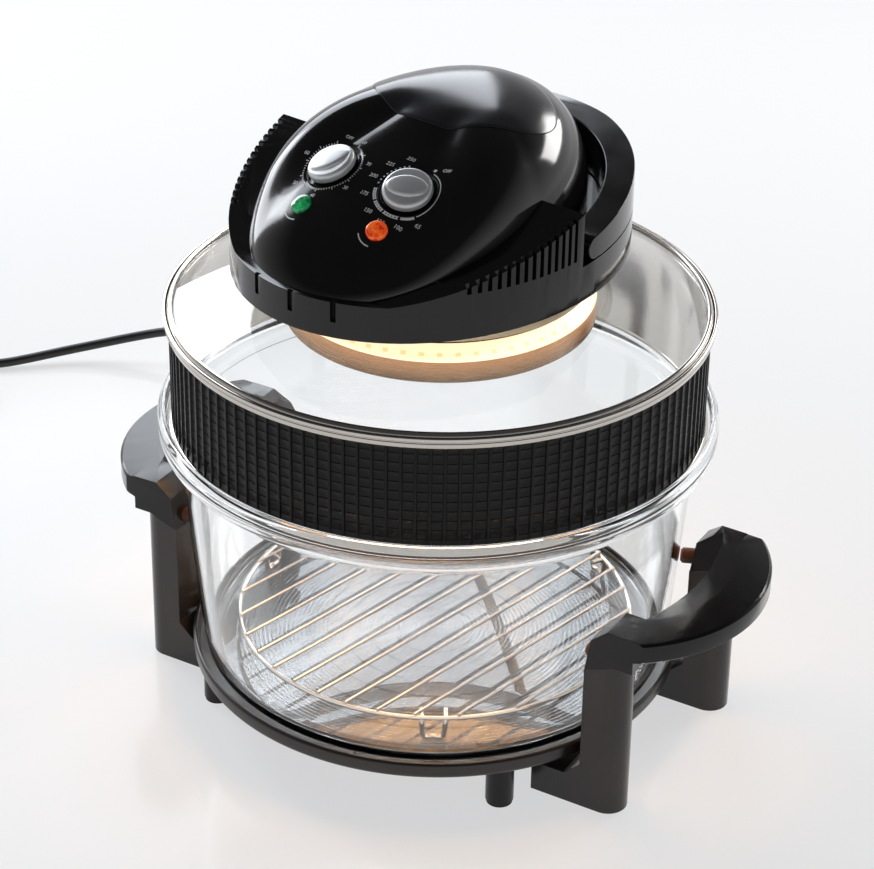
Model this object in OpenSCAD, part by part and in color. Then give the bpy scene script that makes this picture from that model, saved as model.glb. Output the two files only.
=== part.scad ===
// Halogen oven. A legged stand holds a glass bowl, a steel extender ring stands
// in the bowl's rim, and a domed glass lid carries the heater, fan and head.
// Millimetres, +Z up, front towards -Y, origin on the table under the bowl's axis.

/* [Fits] */
// Gap left between two pieces that lift apart
lift_gap = 0.3; // [0.2:0.05:0.4]
// Radial clearance of a shaft or pin that turns in its hole
run_gap = 0.05; // [0.03:0.01:0.08]

/* [Bowl] */
// Radius of the bowl where its wall leaves the floor
bowl_foot_r = 142.4; // [135:0.2:150]
// How far the wall leans out between the floor and the rim
bowl_flare = 12.1; // [10:0.1:14]
// Height of the bowl
bowl_h = 164; // [145:1:185]
// Thickness of the bowl's wall
bowl_t = 4.4; // [3.6:0.1:5.5]
// Thickness of the bowl's floor
bowl_floor_t = 5; // [4:0.1:7]
// Radius of the bowl's lower corner
bowl_corner_r = 6; // [4:0.5:8]
// Height of the thick rim
rim_h = 21; // [18:0.5:26]
// How far the rim stands out from the wall
rim_out = 12.6; // [11:0.2:16]
// Depth of the seat moulded into the rim for the extender ring
rim_seat_depth = 9.4; // [7:0.2:12]

/* [Extender ring] */
// Height of the extender ring
ring_h = 75.4; // [60:0.2:90]
// Thickness of the ring's steel sheet
ring_t = 1.2; // [0.8:0.1:1.6]
// Thickness of the rolled bead at the ring's foot
ring_bead = 4; // [3:0.2:5]
// Height of the lip that holds the lid
ring_lip_h = 7.6; // [6.6:0.1:9]
// How far the lip stands out from the ring's wall
ring_lip_out = 4.4; // [4:0.1:6]
// Thickness of the rubber grid round the ring
band_t = 1.6; // [1.2:0.1:2.4]
// Number of upright ribs on the rubber grid
band_ribs = 123; // [60:1:132]
// Width of one upright rib
band_rib_w = 2.2; // [1.4:0.1:3]

/* [Stand] */
// Height of the tray's underside above the table
foot_h = 28; // [22:0.5:34]
// Thickness of the tray's floor
tray_t = 2.2; // [1.8:0.1:3]
// Height of the tray's upright rim
tray_rim_h = 10; // [8:0.5:14]
// How far the tray reaches outside the bowl's foot
tray_margin = 7.6; // [7:0.2:12]
// Thickness of the tray's rim
tray_rim_t = 3.2; // [2.4:0.2:4]
// Height of the rubber pads under the bowl
bowl_pad_h = 2.3; // [1.5:0.1:4]
// Thickness of a leg, front to back
leg_t = 24; // [18:0.5:28]
// Depth of a leg, side to side
leg_w = 26; // [20:0.5:30]
// How much further out the rear legs stand than the front ones
rear_splay = 6; // [0:0.5:7]
// Distance between the middles of a front and a rear leg
leg_pitch = 125; // [115:1:132]
// Height of the joint between a leg and its grip
leg_joint_z = 97; // [88:0.5:106]
// How far a leg's toe reaches inwards under the tray
toe_len = 31; // [26:0.5:36]
// Height of a leg's toe
toe_h = 20; // [14:0.5:22]
// Height of the grips' upper side
grip_top_z = 127.2; // [120:0.2:136]
// Height of the grips' outer edge band
grip_band_h = 13; // [10:0.5:16]
// How far the grips reach out beyond the legs
grip_out = 46.8; // [40:0.2:54]
// How far the middle of a grip bows out beyond its ends, outer edge
grip_bow_out = 36; // [28:0.5:44]
// How far the middle of a grip bows out beyond its ends, inner edge
grip_bow_in = 20; // [14:0.5:26]
// Width of a grip at its middle
grip_w = 37; // [32:0.5:40]
// How far forward the bevel at a grip's rear end reaches
grip_bevel = 11.5; // [8:0.5:14]
// Radius of the small round feet
foot_r = 8.4; // [6:0.2:10]
// How far in from the tray's side edges the small feet stand
foot_side_in = 50; // [42:0.5:60]
// How far in from the tray's front and back edges the small feet stand
foot_front_in = 56; // [50:0.5:64]
// Thickness of the rubber discs under the small feet
foot_pad_h = 2; // [1:0.2:3]
// Height of the silicone bumpers at the leg tops
bumper_z = 102; // [101:0.5:108]
// Radius of a silicone bumper
bumper_r = 4.8; // [3.5:0.1:5]

/* [Rack] */
// Radius of the rack's hoop
rack_r = 121; // [100:1:126]
// Thickness of the hoop wire
rack_hoop_d = 3.2; // [2.6:0.1:4]
// Thickness of the cross wires
rack_wire_d = 2.4; // [1.8:0.1:3]
// Distance between neighbouring cross wires
rack_pitch = 18.5; // [16:0.5:22]
// Height of the rack's hoop above the bowl's floor
rack_h = 14; // [11:0.5:20]
// Direction of the cross wires, seen from above
rack_turn = 77; // [0:1:180]

/* [Lid] */
// How far the head and lid are turned from the stand
lid_turn = -7; // [-30:1:30]
// Thickness of the lid glass
lid_t = 3.4; // [3:0.1:3.6]
// Radius of the sphere that the lid glass is cut from
lid_dome_r = 455; // [400:5:600]
// Radius of the hole at the lid's hub
hub_hole_r = 86; // [84:0.5:90]
// Thickness of the steel rim's sheet
lid_rim_t = 1.1; // [0.8:0.1:1.4]
// Height of the lid's steel rim
lid_rim_h = 7.6; // [7.4:0.1:9]

/* [Heater] */
// Radius of the heater can
can_r = 91; // [90:0.5:94]
// How far the can reaches down from the hub
can_drop = 21.4; // [20:0.2:24]
// Thickness of the can's sheet
can_t = 0.8; // [0.6:0.1:1]
// Radius of the halogen tube's ring
tube_ring_r = 66; // [63:0.5:70]
// Thickness of the halogen tube
tube_d = 9; // [7:0.5:10]
// Number of slots in the fan guard
guard_slots = 24; // [16:1:28]
// Radius of the convection fan
hot_fan_r = 54; // [40:1:56]
// Number of blades of each fan
fan_blades = 6; // [4:1:8]

/* [Head] */
// Half the head's width
head_a = 108; // [102:0.5:114]
// Half the head's length
head_b = 128.5; // [126:0.5:136]
// How far the head's middle stands left of the lid's axis
head_left = 4.4; // [0:0.2:6]
// How far the head's middle stands in front of the lid's axis
head_front = 2.4; // [0:0.2:6]
// Distance from the top of the hub glass to the head's underside
neck_h = 15.9; // [13:0.1:24]
// Thickness of the head's plastic wall
head_t = 2.6; // [2:0.1:3.2]
// Height of the head's skirt at the front
skirt_h = 16; // [13:0.5:19]
// Rise of the shoulders towards the back, in degrees
shoulder_rise = 17; // [14:0.5:20]
// Distance behind the middle at which the shoulders end, negative is in front
wing_back = -4.5; // [-9:0.5:-3]
// Height of the rear deck under the carry handle
deck_h = 21.5; // [19:0.5:23]
// Number of finger grooves in each shoulder
groove_count = 14; // [8:1:15]
// Distance between neighbouring finger grooves
groove_pitch = 5.2; // [4.6:0.1:5.4]
// Depth of a finger groove
groove_depth = 4; // [2:0.2:4.4]
// Distance between neighbouring notches in the front of the skirt
notch_step = 27; // [20:1:32]

/* [Hood] */
// Half the hood's width
hood_a = 83; // [78:0.5:84]
// Half the hood's length
hood_b = 115.5; // [110:0.5:116]
// Distance of the hood's middle in front of the head's middle
hood_shift = 11; // [10:0.5:12]
// Distance of the hood's crown behind the head's middle
crown_y = 33; // [28:0.5:40]
// Height of the hood's crown above the head's underside
crown_h = 90; // [84:0.5:96]
// Sideways distance of both dials from the middle
dial_x = 26.5; // [25:0.5:30]
// Forward distance of both dials from the middle
dial_y = 58.5; // [55:0.5:62]
// Radius of the two knobs
knob_r = 14.2; // [13:0.2:17]
// Height of the two knobs
knob_h = 8; // [7.6:0.2:11]
// Radius of the spindles under the knobs
spindle_r = 3; // [2.5:0.1:3.5]
// Sideways distance of both lamps from the middle
lamp_x = 26.5; // [24:0.5:29]
// Forward distance of both lamps from the middle
lamp_y = 85.8; // [84:0.2:90]
// Radius of the lamp lenses
lamp_r = 6.2; // [5:0.2:7.5]

/* [Carry handle] */
// Width of the carry handle, measured across its bar
bail_w = 17; // [14:0.5:18]
// Thickness of the carry handle at its tips
bail_tip_h = 14; // [12:0.5:16]
// Thickness of the carry handle at the back
bail_back_h = 29; // [24:0.5:32]
// Distance of the handle's pivot behind the head's middle
pivot_y = 8; // [7.5:0.5:12]
// Radius of the handle's pivot pins
pivot_r = 2.5; // [2:0.1:3.5]

/* [Motor] */
// Radius of the motor's shaft
shaft_r = 3.9; // [3:0.1:4.5]
// Side of the motor's laminated core
core_side = 58; // [50:1:62]
// Height of the motor's laminated core
core_h = 22; // [18:0.5:24]
// Radius of the fan that cools the motor
cool_fan_r = 38; // [30:1:42]

/* [Mains lead] */
// Diameter of the lead
cord_d = 6.8; // [6:0.1:7.4]
// Length of the tapered strain relief
relief_len = 26; // [20:0.5:30]
// Sideways distance of the lead's exit from the middle of the head's back
exit_x = -7; // [-30:1:20]
// Height of the lead's exit above the head's underside
exit_h = 9; // [8:0.5:12]
// Largest radius of the lead's coil, to the middle of the lead
coil_r = 42; // [38:0.5:50]
// Turns of the lead in its coil
coil_turns = 2; // [2:1:4]
// Length of the plug's body
plug_len = 50; // [44:1:56]
// Width of the plug's body
plug_w = 48; // [42:1:54]
// Thickness of the plug's body
plug_t = 20; // [18:0.5:24]

/* [Hidden] */

fine = 128;
finest = 360;
bite = 0.01;
leg_y = leg_pitch / 2;

// Heights, from the table up
tray_top = foot_h + tray_t;
bowl_z = tray_top + bowl_pad_h + lift_gap;
bowl_floor_z = bowl_z + bowl_floor_t;
rim_z = bowl_z + bowl_h;
ring_z = rim_z - rim_seat_depth + lift_gap;
ring_top = ring_z + ring_h;
ledge_z = ring_top - ring_lip_h;
lid_z = ledge_z + ring_t + lift_gap;

// Radii, from the bowl out
wall_h = bowl_h - rim_h;
wall_top_r = bowl_foot_r + bowl_flare;
rim_r = wall_top_r + rim_out;
rim_lip = 5.4;
seat_r = rim_r - rim_lip;
bead_r = ring_bead / 2;
bead_mid_r = seat_r - 0.8 - bead_r;
ring_out = bead_mid_r - bead_r + 0.3;
ring_in = ring_out - ring_t;
lip_out = ring_out + ring_lip_out;
lip_in = lip_out - ring_t;
band_in = ring_out + 0.05;
tray_r = bowl_foot_r + tray_margin;
foot_x = tray_r - foot_side_in;
foot_y = tray_r - foot_front_in;
lid_rim_r = lip_in - 0.6;

// The legs stand just outside the tray's rim
post_in = sqrt(pow(tray_r, 2) - pow(leg_y - leg_t / 2, 2)) + 0.4;
post_out = post_in + leg_w - 0.4;
post_round = leg_t / 2;
toe_in = post_out - leg_w - toe_len;
grip_reach = post_out + grip_out;
leg_screw_in = 10;
screw_r = 1.5;
function splay(sy) = sy > 0 ? rear_splay : 0;

// Lid glass and hub
gasket_h = 0.6;
gasket_gap = 0.1;
rim_grip = 2;
glass_edge_r = lid_rim_r - lid_rim_t - 0.5;
glass_edge_z = lid_z + lid_rim_t + gasket_h + 0.2;
function dome_drop(r) = sqrt(pow(lid_dome_r, 2) - r * r);
function glass_z(r) = glass_edge_z + dome_drop(r) - dome_drop(glass_edge_r);
hub_top = glass_z(hub_hole_r) + lid_t;
head_z = hub_top + neck_h;
can_neck_r = hub_hole_r - 3;
neck_in = 5;
neck_wall = 2.4;
nut_r = 6.2;
can_top_z = glass_z(hub_hole_r) - 0.8;
can_step_h = 8.4;
can_step_z = can_top_z - can_step_h;
can_foot_z = can_top_z - can_drop;

// Head plan and hood surface, heights above the head's underside
function ellipse_points(a, b, n = 96) = [for (i = [0:n - 1]) [a * cos(360 * i / n), b * sin(360 * i / n)]];
function ellipse_x(a, b, y) = a * sqrt(max(0, 1 - pow(y / b, 2)));
function shoulder_h(y) = skirt_h + tan(shoulder_rise) * (y + head_b);
function ramp(v) = let (c = min(1, max(0, v))) c * c * (3 - 2 * c);
function mix(a, b, f) = a + (b - a) * f;
// The hood swells from an oval outline on the head to its crown; e insets the surface
function outline_scale(x, y, e) =
    let (u = (crown_y + hood_shift) / (hood_b - e),
         vx = x / (hood_a - e), vy = (y - crown_y) / (hood_b - e),
         vv = max(1e-9, vx * vx + vy * vy), uv = u * vy)
    (-uv + sqrt(uv * uv - vv * (u * u - 1))) / vv;
// How full the hood is near its crown and down its sides: at its front, its flanks and its back
hood_crown_full = [1.55, 3, 2.6];
hood_side_full = [1.4, 2.5, 2.8];
// Blends a value for the hood's front, sides and back by the outline point's distance y
function along_hood(y, v) = mix(mix(v[0], v[1], ramp((y + 105) / 90)), v[2], ramp((y + 15) / 70));
function hood_edge_h(y) = mix(shoulder_h(max(y, -head_b)), deck_h, ramp((y + 70) / 65));
function hood_h_at(s, y, e) =
    let (edge = hood_edge_h(y) - e, inner = along_hood(y, hood_crown_full), outer = along_hood(y, hood_side_full))
    edge + (crown_h - e - edge) * pow(max(0, 1 - pow(s, inner)), 1 / outer);
function hood_h(x, y, e = 0) =
    let (k = outline_scale(x, y, e), edge_y = crown_y + (y - crown_y) * k)
    hood_h_at(1 / k, edge_y, e);
function hood_normal(x, y) =
    let (n = [hood_h(x - 1, y) - hood_h(x + 1, y), hood_h(x, y - 1) - hood_h(x, y + 1), 2]) n / norm(n);

// Carry handle, the ring of the head's outline behind the shoulders
bail_z = deck_h + 0.5;
pivot_z = bail_z + bail_tip_h / 2;
bail_tip_x = ellipse_x(head_a - bail_w, head_b - bail_w, pivot_y);
lug_out = bail_tip_x - 1.5;
lug_in = lug_out - 6;

// Screws that hold the head's base, under the shoulders and under the deck
head_screw_places = [for (s = [-1, 1], q = [[0.61, -0.607], [0.556, 0.545]]) [s * q.x * head_a, q.y * head_b]];
function roof_h(y) = y < 0 ? shoulder_h(y) : deck_h;

// Switch under the deck, worked by the carry handle
switch_at = [-88.5, 34];
switch_r = 2;

// Motor and fans, on the bowl's axis, heights above the head's underside
base_t = 2.4;
core_z = base_t + 7;
bracket_z = core_z + core_h;
rotor_r = 14;
rotor_gap = 0.6;
cool_fan_z = bracket_z + 11;
hot_fan_z = can_foot_z + 3.6 - head_z;

// Indicator lamps and dials stand square to the hood's surface
hood_t = 2.6;
unit_deep = 19;
unit_gap = 3;
lens_gap = 0.15;

// Lead: hand-laid route, from the strain relief to the coil, in the stand's frame
back_y = head_b * sqrt(1 - pow(exit_x / head_a, 2));
route = [
    [8.5, 163, 307.5], [8, 173, 303], [3, 183, 293], [-8, 193, 277], [-26, 203, 254],
    [-52, 214, 223], [-86, 226, 188], [-125, 238, 152], [-168, 249, 118], [-212, 257, 90],
    [-258, 262, 66], [-305, 262, 45], [-348, 256, 30], [-387, 248, 20], [-434, 214, 9.5],
    [-472, 174.4, 4.2], [-490, 163.7, 3.7], [-514, 149.9, 3.7]];
coil_mid = [-499, 110];
coil_start = 120;
coil_z = 3.7;
coil_pitch = 7.4;
tail_len = 30;

function unit(v) = v / norm(v);
function spline(a, b, c, d, f) =
    0.5 * (2 * b + (c - a) * f + (2 * a - 5 * b + 4 * c - d) * f * f + (3 * b - a - 3 * c + d) * f * f * f);
function smooth_route(p, n) = [
    for (i = [0:len(p) - 2], j = [0:n - 1])
        let (a = i == 0 ? 2 * p[0] - p[1] : p[i - 1],
             d = i == len(p) - 2 ? 2 * p[i + 1] - p[i] : p[i + 2])
        spline(a, p[i], p[i + 1], d, j / n),
    p[len(p) - 1]];
function heading(p, i) = unit(p[min(i + 1, len(p) - 1)] - p[max(i - 1, 0)]);

// Sweeps a round section of n sides along the points p
module sweep(p, r, n) {
    rings = [
        for (i = [0:len(p) - 1])
            let (t = heading(p, i), side = unit(cross(t, [0, 0, 1])), lift = cross(side, t))
            for (k = [0:n - 1]) p[i] + r * cos(360 * k / n) * side + r * sin(360 * k / n) * lift];
    last = len(p) - 1;
    skin = [
        for (i = [0:last - 1], k = [0:n - 1])
            let (a = i * n + k, b = i * n + (k + 1) % n)
            each [[a, b, b + n], [a, b + n, a + n]]];
    ends = [
        for (k = [1:n - 2]) each [[0, k + 1, k], [last * n, last * n + k, last * n + k + 1]]];
    polyhedron(rings, concat(skin, ends), convexity = 8);
}

module oval(a, b) { polygon(ellipse_points(a, b)); }

module ring(r_out, r_in, h, sides = fine) {
    difference() {
        cylinder(h = h, r = r_out, $fn = sides);
        translate([0, 0, -1]) cylinder(h = h + 2, r = r_in, $fn = sides);
    }
}

// Places children in the head's turned frame, on the lid's axis or on the head's own middle
module on_axis() { translate([0, 0, head_z]) rotate([0, 0, lid_turn]) children(); }
module on_head() { on_axis() translate([-head_left, -head_front, 0]) children(); }

// Places children on the hood's surface at x, y, square to it
module on_hood(x, y) {
    n = hood_normal(x, y);
    translate([x, y, hood_h(x, y)]) rotate(a = acos(n.z), v = [-n.y, n.x, 0]) children();
}

// Places children where the four legs are screwed to the tray
module at_leg_screws() {
    for (sx = [-1, 1], sy = [-1, 1])
        translate([sx * (toe_in + leg_screw_in + splay(sy)), sy * leg_y, 0]) children();
}

// Stand

module base_tray() {
    color([0.09, 0.09, 0.09]) {
        rotate_extrude($fn = fine) polygon([
            [0, foot_h], [tray_r - 1.5, foot_h], [tray_r, foot_h + 1.5],
            [tray_r, foot_h + tray_rim_h - 1], [tray_r - 1, foot_h + tray_rim_h],
            [tray_r - tray_rim_t, foot_h + tray_rim_h], [tray_r - tray_rim_t - 0.6, tray_top],
            [0, tray_top]]);
        for (r = [24:16:104]) translate([0, 0, tray_top - bite]) ring(r + 1.2, r, 0.8 + bite);
        at_leg_screws() translate([0, 0, toe_h]) difference() {
            cylinder(h = foot_h - toe_h + bite, r = 7, $fn = 48);
            translate([0, 0, -1]) cylinder(h = foot_h - toe_h + 1, r = screw_r + 0.1, $fn = 24);
        }
    }
}

// The sloping joint between a leg's top and its grip, at sideways distance x
function joint_z(x) = leg_joint_z + 0.36 * (x - post_in);

module leg_plate() {
    difference() {
        intersection() {
            translate([0, leg_t / 2, 0]) rotate([90, 0, 0])
                linear_extrude(leg_t) polygon([
                    [toe_in, 0], [post_out, 0], [post_out, under_z], [post_in + joint_slope_w, under_z],
                    [post_in, joint_z(post_in)], [post_in, foot_h + 1], [post_in - 10, toe_h],
                    [toe_in, toe_h]]);
            union() {
                translate([post_out - post_round, 0, -1]) cylinder(h = grip_top_z, r = post_round, $fn = 64);
                translate([toe_in - 1, -leg_t / 2, -1])
                    cube([post_out - post_round - toe_in + 1, leg_t, grip_top_z]);
            }
        }
        translate([toe_in + leg_screw_in, 0, -1]) cylinder(h = toe_h + 2, r = screw_r + 0.7, $fn = 24);
        translate([toe_in + leg_screw_in, 0, -1]) cylinder(h = 9, r = 4.6, $fn = 32);
        translate([toe_in + 18.5, -leg_t / 2 + 3, -1]) cube([8, leg_t - 6, toe_h - 4]);
        translate([post_in + 3, -leg_t / 2 + 3, -1]) cube([leg_w - post_round - 4, leg_t - 6, leg_joint_z - 12]);
    }
}

module leg(sx, sy) {
    color([0.12, 0.11, 0.11])
        translate([sx * splay(sy), sy * leg_y, 0]) if (sx < 0) mirror([1, 0, 0]) leg_plate(); else leg_plate();
}

module front_left_leg() { leg(-1, -1); }
module front_right_leg() { leg(1, -1); }
module rear_left_leg() { leg(-1, 1); }
module rear_right_leg() { leg(1, 1); }

// A grip is a bowed bar whose outer edge follows one arc and inner edge another
grip_half = leg_y + leg_t / 2;
outer_arc = (pow(grip_half, 2) + pow(grip_bow_out, 2)) / (2 * grip_bow_out);
inner_arc = (pow(grip_half, 2) + pow(grip_bow_in, 2)) / (2 * grip_bow_in);
outer_mid = grip_reach - outer_arc;
inner_mid = grip_reach - grip_w - inner_arc;
joint_slope_w = 19;
under_z = joint_z(post_in + joint_slope_w);
cap_in_x = post_in + 3.5;

module grip_bar() {
    difference() {
        intersection() {
            translate([outer_mid, 0, 0]) rotate_extrude($fn = fine) polygon([
                [0, under_z], [outer_arc - 19, under_z], [outer_arc - 1, grip_top_z - grip_band_h - 1],
                [outer_arc, grip_top_z - grip_band_h], [outer_arc, grip_top_z - 2.6],
                [outer_arc - 1.6, grip_top_z - 1.2], [outer_arc - 22, grip_top_z], [0, grip_top_z]]);
            translate([post_in, -grip_half, 0]) cube([100, 2 * grip_half, 200]);
        }
        translate([inner_mid, 0, -1]) cylinder(h = 300, r = inner_arc, $fn = fine);
    }
}

module grip_cap() {
    translate([0, leg_y + leg_t / 2, 0]) rotate([90, 0, 0])
        linear_extrude(leg_t) polygon([
            [post_in + 0.3, joint_z(post_in + 0.3)], [cap_in_x, grip_top_z - 9],
            [cap_in_x + 10.5, grip_top_z], [post_out + 5, grip_top_z - 0.4],
            [post_out + 5, under_z], [post_in + joint_slope_w, under_z]]);
}

// The grips' rear ends slope down over the rear legs
module grip_end_cut() {
    translate([post_in - 20, 0, 0]) rotate([90, 0, 90]) linear_extrude(120) polygon([
        [grip_half - grip_bevel, grip_top_z + 1], [grip_half + 1, joint_z(post_in + 14)],
        [grip_half + 20, joint_z(post_in + 14)], [grip_half + 20, grip_top_z + 1]]);
}

module grip() {
    color([0.06, 0.06, 0.06]) difference() {
        union() {
            grip_bar();
            mirror([0, 1, 0]) grip_cap();
            translate([rear_splay, 0, 0]) grip_cap();
        }
        grip_end_cut();
    }
}

module left_grip() { mirror([1, 0, 0]) grip(); }
module right_grip() { grip(); }

module tray_feet() {
    color([0.1, 0.1, 0.1]) for (sx = [-1, 1], sy = [-1, 1])
        translate([sx * foot_x, sy * foot_y, foot_pad_h])
            cylinder(h = foot_h - foot_pad_h, r = foot_r, $fn = 48);
}

module foot_pads() {
    color([0.16, 0.16, 0.16]) for (sx = [-1, 1], sy = [-1, 1])
        translate([sx * foot_x, sy * foot_y, 0]) cylinder(h = foot_pad_h, r = foot_r - 0.6, $fn = 48);
}

module bowl_pads() {
    color([0.2, 0.2, 0.2]) for (k = [0:3]) rotate([0, 0, 45 + 90 * k])
        translate([bowl_foot_r - 20, 0, tray_top]) cylinder(h = bowl_pad_h, r = 7, $fn = 48);
}

// Wall radius of the bowl at height h above its underside, outside
function bowl_r(h) = bowl_foot_r + bowl_flare * pow(max(0, h - bowl_corner_r) / (wall_h - bowl_corner_r), 0.8);

module bumper(sy) {
    cap_x = cap_in_x + splay(sy);
    start = norm([cap_x, leg_y]) + 1;
    tip = bowl_r(bumper_z + bumper_r - bowl_z) + lift_gap;
    difference() {
        rotate([0, 0, atan2(leg_y, cap_x)]) translate([tip, 0, bumper_z]) rotate([0, 90, 0])
            union() {
                translate([0, 0, 1.5]) cylinder(h = start - tip, r = bumper_r, $fn = 48);
                cylinder(h = 1.5, r1 = bumper_r - 1.5, r2 = bumper_r, $fn = 48);
            }
        translate([splay(sy), leg_y + leg_t, 0]) rotate([90, 0, 0])
            linear_extrude(2 * leg_t) polygon([
                [post_in + 0.3, joint_z(post_in + 0.3)], [cap_in_x, grip_top_z - 9],
                [post_out, grip_top_z - 9], [post_out, leg_joint_z - 7], [post_in + 0.3, leg_joint_z - 7]]);
    }
}

module bowl_bumpers() {
    color([0.36, 0.2, 0.12]) for (sx = [-1, 1], sy = [-1, 1]) scale([sx, sy, 1]) bumper(sy);
}

module stand_screws() {
    color([0.55, 0.55, 0.56]) at_leg_screws() {
        translate([0, 0, 5.4]) cylinder(h = 2.6, r = 3.6, $fn = 32);
        translate([0, 0, 8 - bite]) cylinder(h = toe_h + 5 - 8, r = screw_r, $fn = 24);
    }
}

// Bowl, rack and extender ring

module glass_bowl() {
    steps = 8;
    corner = [for (a = [0:22.5:90])
        [bowl_foot_r - bowl_corner_r * (1 - sin(a)), bowl_corner_r * (1 - cos(a))]];
    outside = [for (i = [1:steps])
        let (h = bowl_corner_r + (wall_h - bowl_corner_r) * i / steps) [bowl_r(h), h]];
    inner_corner = [for (a = [0:22.5:90])
        [bowl_foot_r - bowl_t - bowl_corner_r * (1 - cos(a)),
         bowl_floor_t + bowl_corner_r * (1 - sin(a))]];
    inside = [for (i = [steps:-1:1])
        let (h = bowl_corner_r + (wall_h - bowl_corner_r) * i / steps) [bowl_r(h) - bowl_t, h + 1]];
    color([0.75, 0.86, 0.92, 0.4]) translate([0, 0, bowl_z]) rotate_extrude($fn = fine) polygon(concat(
        [[0, 0]], corner, outside,
        [[rim_r - 8.5, bowl_h - 17.4], [rim_r - 2, bowl_h - 16.4], [rim_r - 0.9, bowl_h - 14.8],
         [rim_r, bowl_h - 3], [rim_r - 1, bowl_h - 0.5], [rim_r - 3, bowl_h],
         [seat_r + 0.6, bowl_h - 0.6], [seat_r, bowl_h - 2], [seat_r, bowl_h - rim_seat_depth],
         [ring_in - 1, bowl_h - rim_seat_depth], [wall_top_r - bowl_t, bowl_h - rim_seat_depth - 3.5]],
        inside, inner_corner, [[0, bowl_floor_t]]));
}

// Wires that lie parallel on the hoop, and three bent feet under it
rack_z = bowl_floor_z + lift_gap + rack_h;
wire_sides = 8;

module wire(length, d) {
    rotate([0, 90, 0]) rotate([0, 0, 180 / wire_sides]) cylinder(h = length, r = d / 2, $fn = wire_sides);
}

module rack_foot() {
    half = 7;
    low = rack_hoop_d / 2 - rack_h;
    for (s = [-1, 1]) translate([rack_r - 9, s * half, 0]) {
        wire(9, rack_hoop_d);
        translate([0.4, 0, -rack_h]) rotate([0, 0, 180 / wire_sides])
            cylinder(h = rack_h + 0.5, r = rack_hoop_d / 2, $fn = wire_sides);
    }
    translate([rack_r - 8.4, -half - 0.6, low + 0.3]) rotate([0, 0, 90]) wire(2 * half + 1.2, rack_hoop_d);
}

module cooking_rack() {
    count = floor((rack_r - 8) / rack_pitch);
    color([0.8, 0.8, 0.8]) translate([0, 0, rack_z]) {
        rotate_extrude($fn = fine) translate([rack_r, 0]) rotate(180 / wire_sides)
            circle(r = rack_hoop_d / 2, $fn = wire_sides);
        rotate([0, 0, rack_turn]) for (i = [-count:count]) {
            half = sqrt(pow(rack_r, 2) - pow(i * rack_pitch, 2));
            translate([-half, i * rack_pitch, (rack_hoop_d + rack_wire_d) / 2 - 0.7])
                wire(2 * half, rack_wire_d);
        }
        for (k = [0:2]) rotate([0, 0, -60 + 120 * k]) rack_foot();
    }
}

module extender_ring() {
    color([0.82, 0.82, 0.82]) translate([0, 0, ring_z]) {
        rotate_extrude($fn = fine) translate([bead_mid_r, bead_r]) circle(r = bead_r, $fn = 24);
        rotate_extrude($fn = fine) polygon([
            [ring_in, bead_r], [ring_out, bead_r], [ring_out, ring_h - ring_lip_h],
            [lip_out - 0.8, ring_h - ring_lip_h], [lip_out, ring_h - ring_lip_h + 0.8],
            [lip_out, ring_h - 1.6], [lip_out + 0.6, ring_h - 0.8], [lip_out, ring_h],
            [lip_in, ring_h], [lip_in, ring_h - ring_lip_h + ring_t],
            [ring_in, ring_h - ring_lip_h + ring_t]]);
    }
}

// The rubber strip's outline seen from above, a rib standing out at each step
module ring_band() {
    band_z = ring_z + ring_bead + 0.4;
    band_h = ledge_z - band_z - 0.4;
    step = 360 / band_ribs;
    r_low = band_in + band_t * 0.5;
    r_high = band_in + band_t;
    half = band_rib_w / r_high * 90 / PI;
    color([0.07, 0.07, 0.07]) translate([0, 0, band_z]) {
        difference() {
            linear_extrude(band_h) polygon([for (i = [0:band_ribs - 1], c = [[-half, r_low],
                [-half, r_high], [half, r_high], [half, r_low]])
                [c[1] * cos(i * step + c[0]), c[1] * sin(i * step + c[0])]]);
            translate([0, 0, -1]) cylinder(h = band_h + 2, r = band_in, $fn = finest);
        }
        for (z = [0, band_h - 2.4]) translate([0, 0, z]) ring(r_high + 0.15, band_in, 2.4, finest);
    }
}

// Lid, hub and heater

module lid_glass() {
    steps = 8;
    radii = [for (i = [0:steps]) mix(hub_hole_r, glass_edge_r, i / steps)];
    color([0.82, 0.9, 0.94, 0.35]) rotate_extrude($fn = fine) polygon(concat(
        [for (r = radii) [r, glass_z(r)]],
        [for (i = [steps:-1:0]) [radii[i], glass_z(radii[i]) + lid_t]]));
}

module lid_rim() {
    in_r = glass_edge_r - rim_grip;
    top = lid_z + lid_rim_h;
    color([0.85, 0.85, 0.85]) rotate_extrude($fn = fine) polygon([
        [in_r, lid_z], [lid_rim_r, lid_z], [lid_rim_r, top - 1], [lid_rim_r - 1, top],
        [in_r + 0.6, top], [in_r, top - 0.6], [in_r, top - lid_rim_t],
        [lid_rim_r - lid_rim_t, top - lid_rim_t], [lid_rim_r - lid_rim_t, lid_z + lid_rim_t],
        [in_r, lid_z + lid_rim_t]]);
}

module lid_gasket() {
    in_r = glass_edge_r - rim_grip;
    color([0.7, 0.7, 0.68]) {
        translate([0, 0, lid_z + lid_rim_t]) ring(glass_edge_r, in_r, gasket_h);
        over = glass_z(in_r) + lid_t + gasket_gap;
        translate([0, 0, over]) ring(glass_edge_r, in_r, lid_z + lid_rim_h - lid_rim_t - over);
    }
}

module hub_seal() {
    color([0.75, 0.3, 0.2]) translate([0, 0, can_top_z + 1])
        ring(hub_hole_r - 0.2, can_neck_r + 0.1, hub_top - can_top_z - 1);
}

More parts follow.
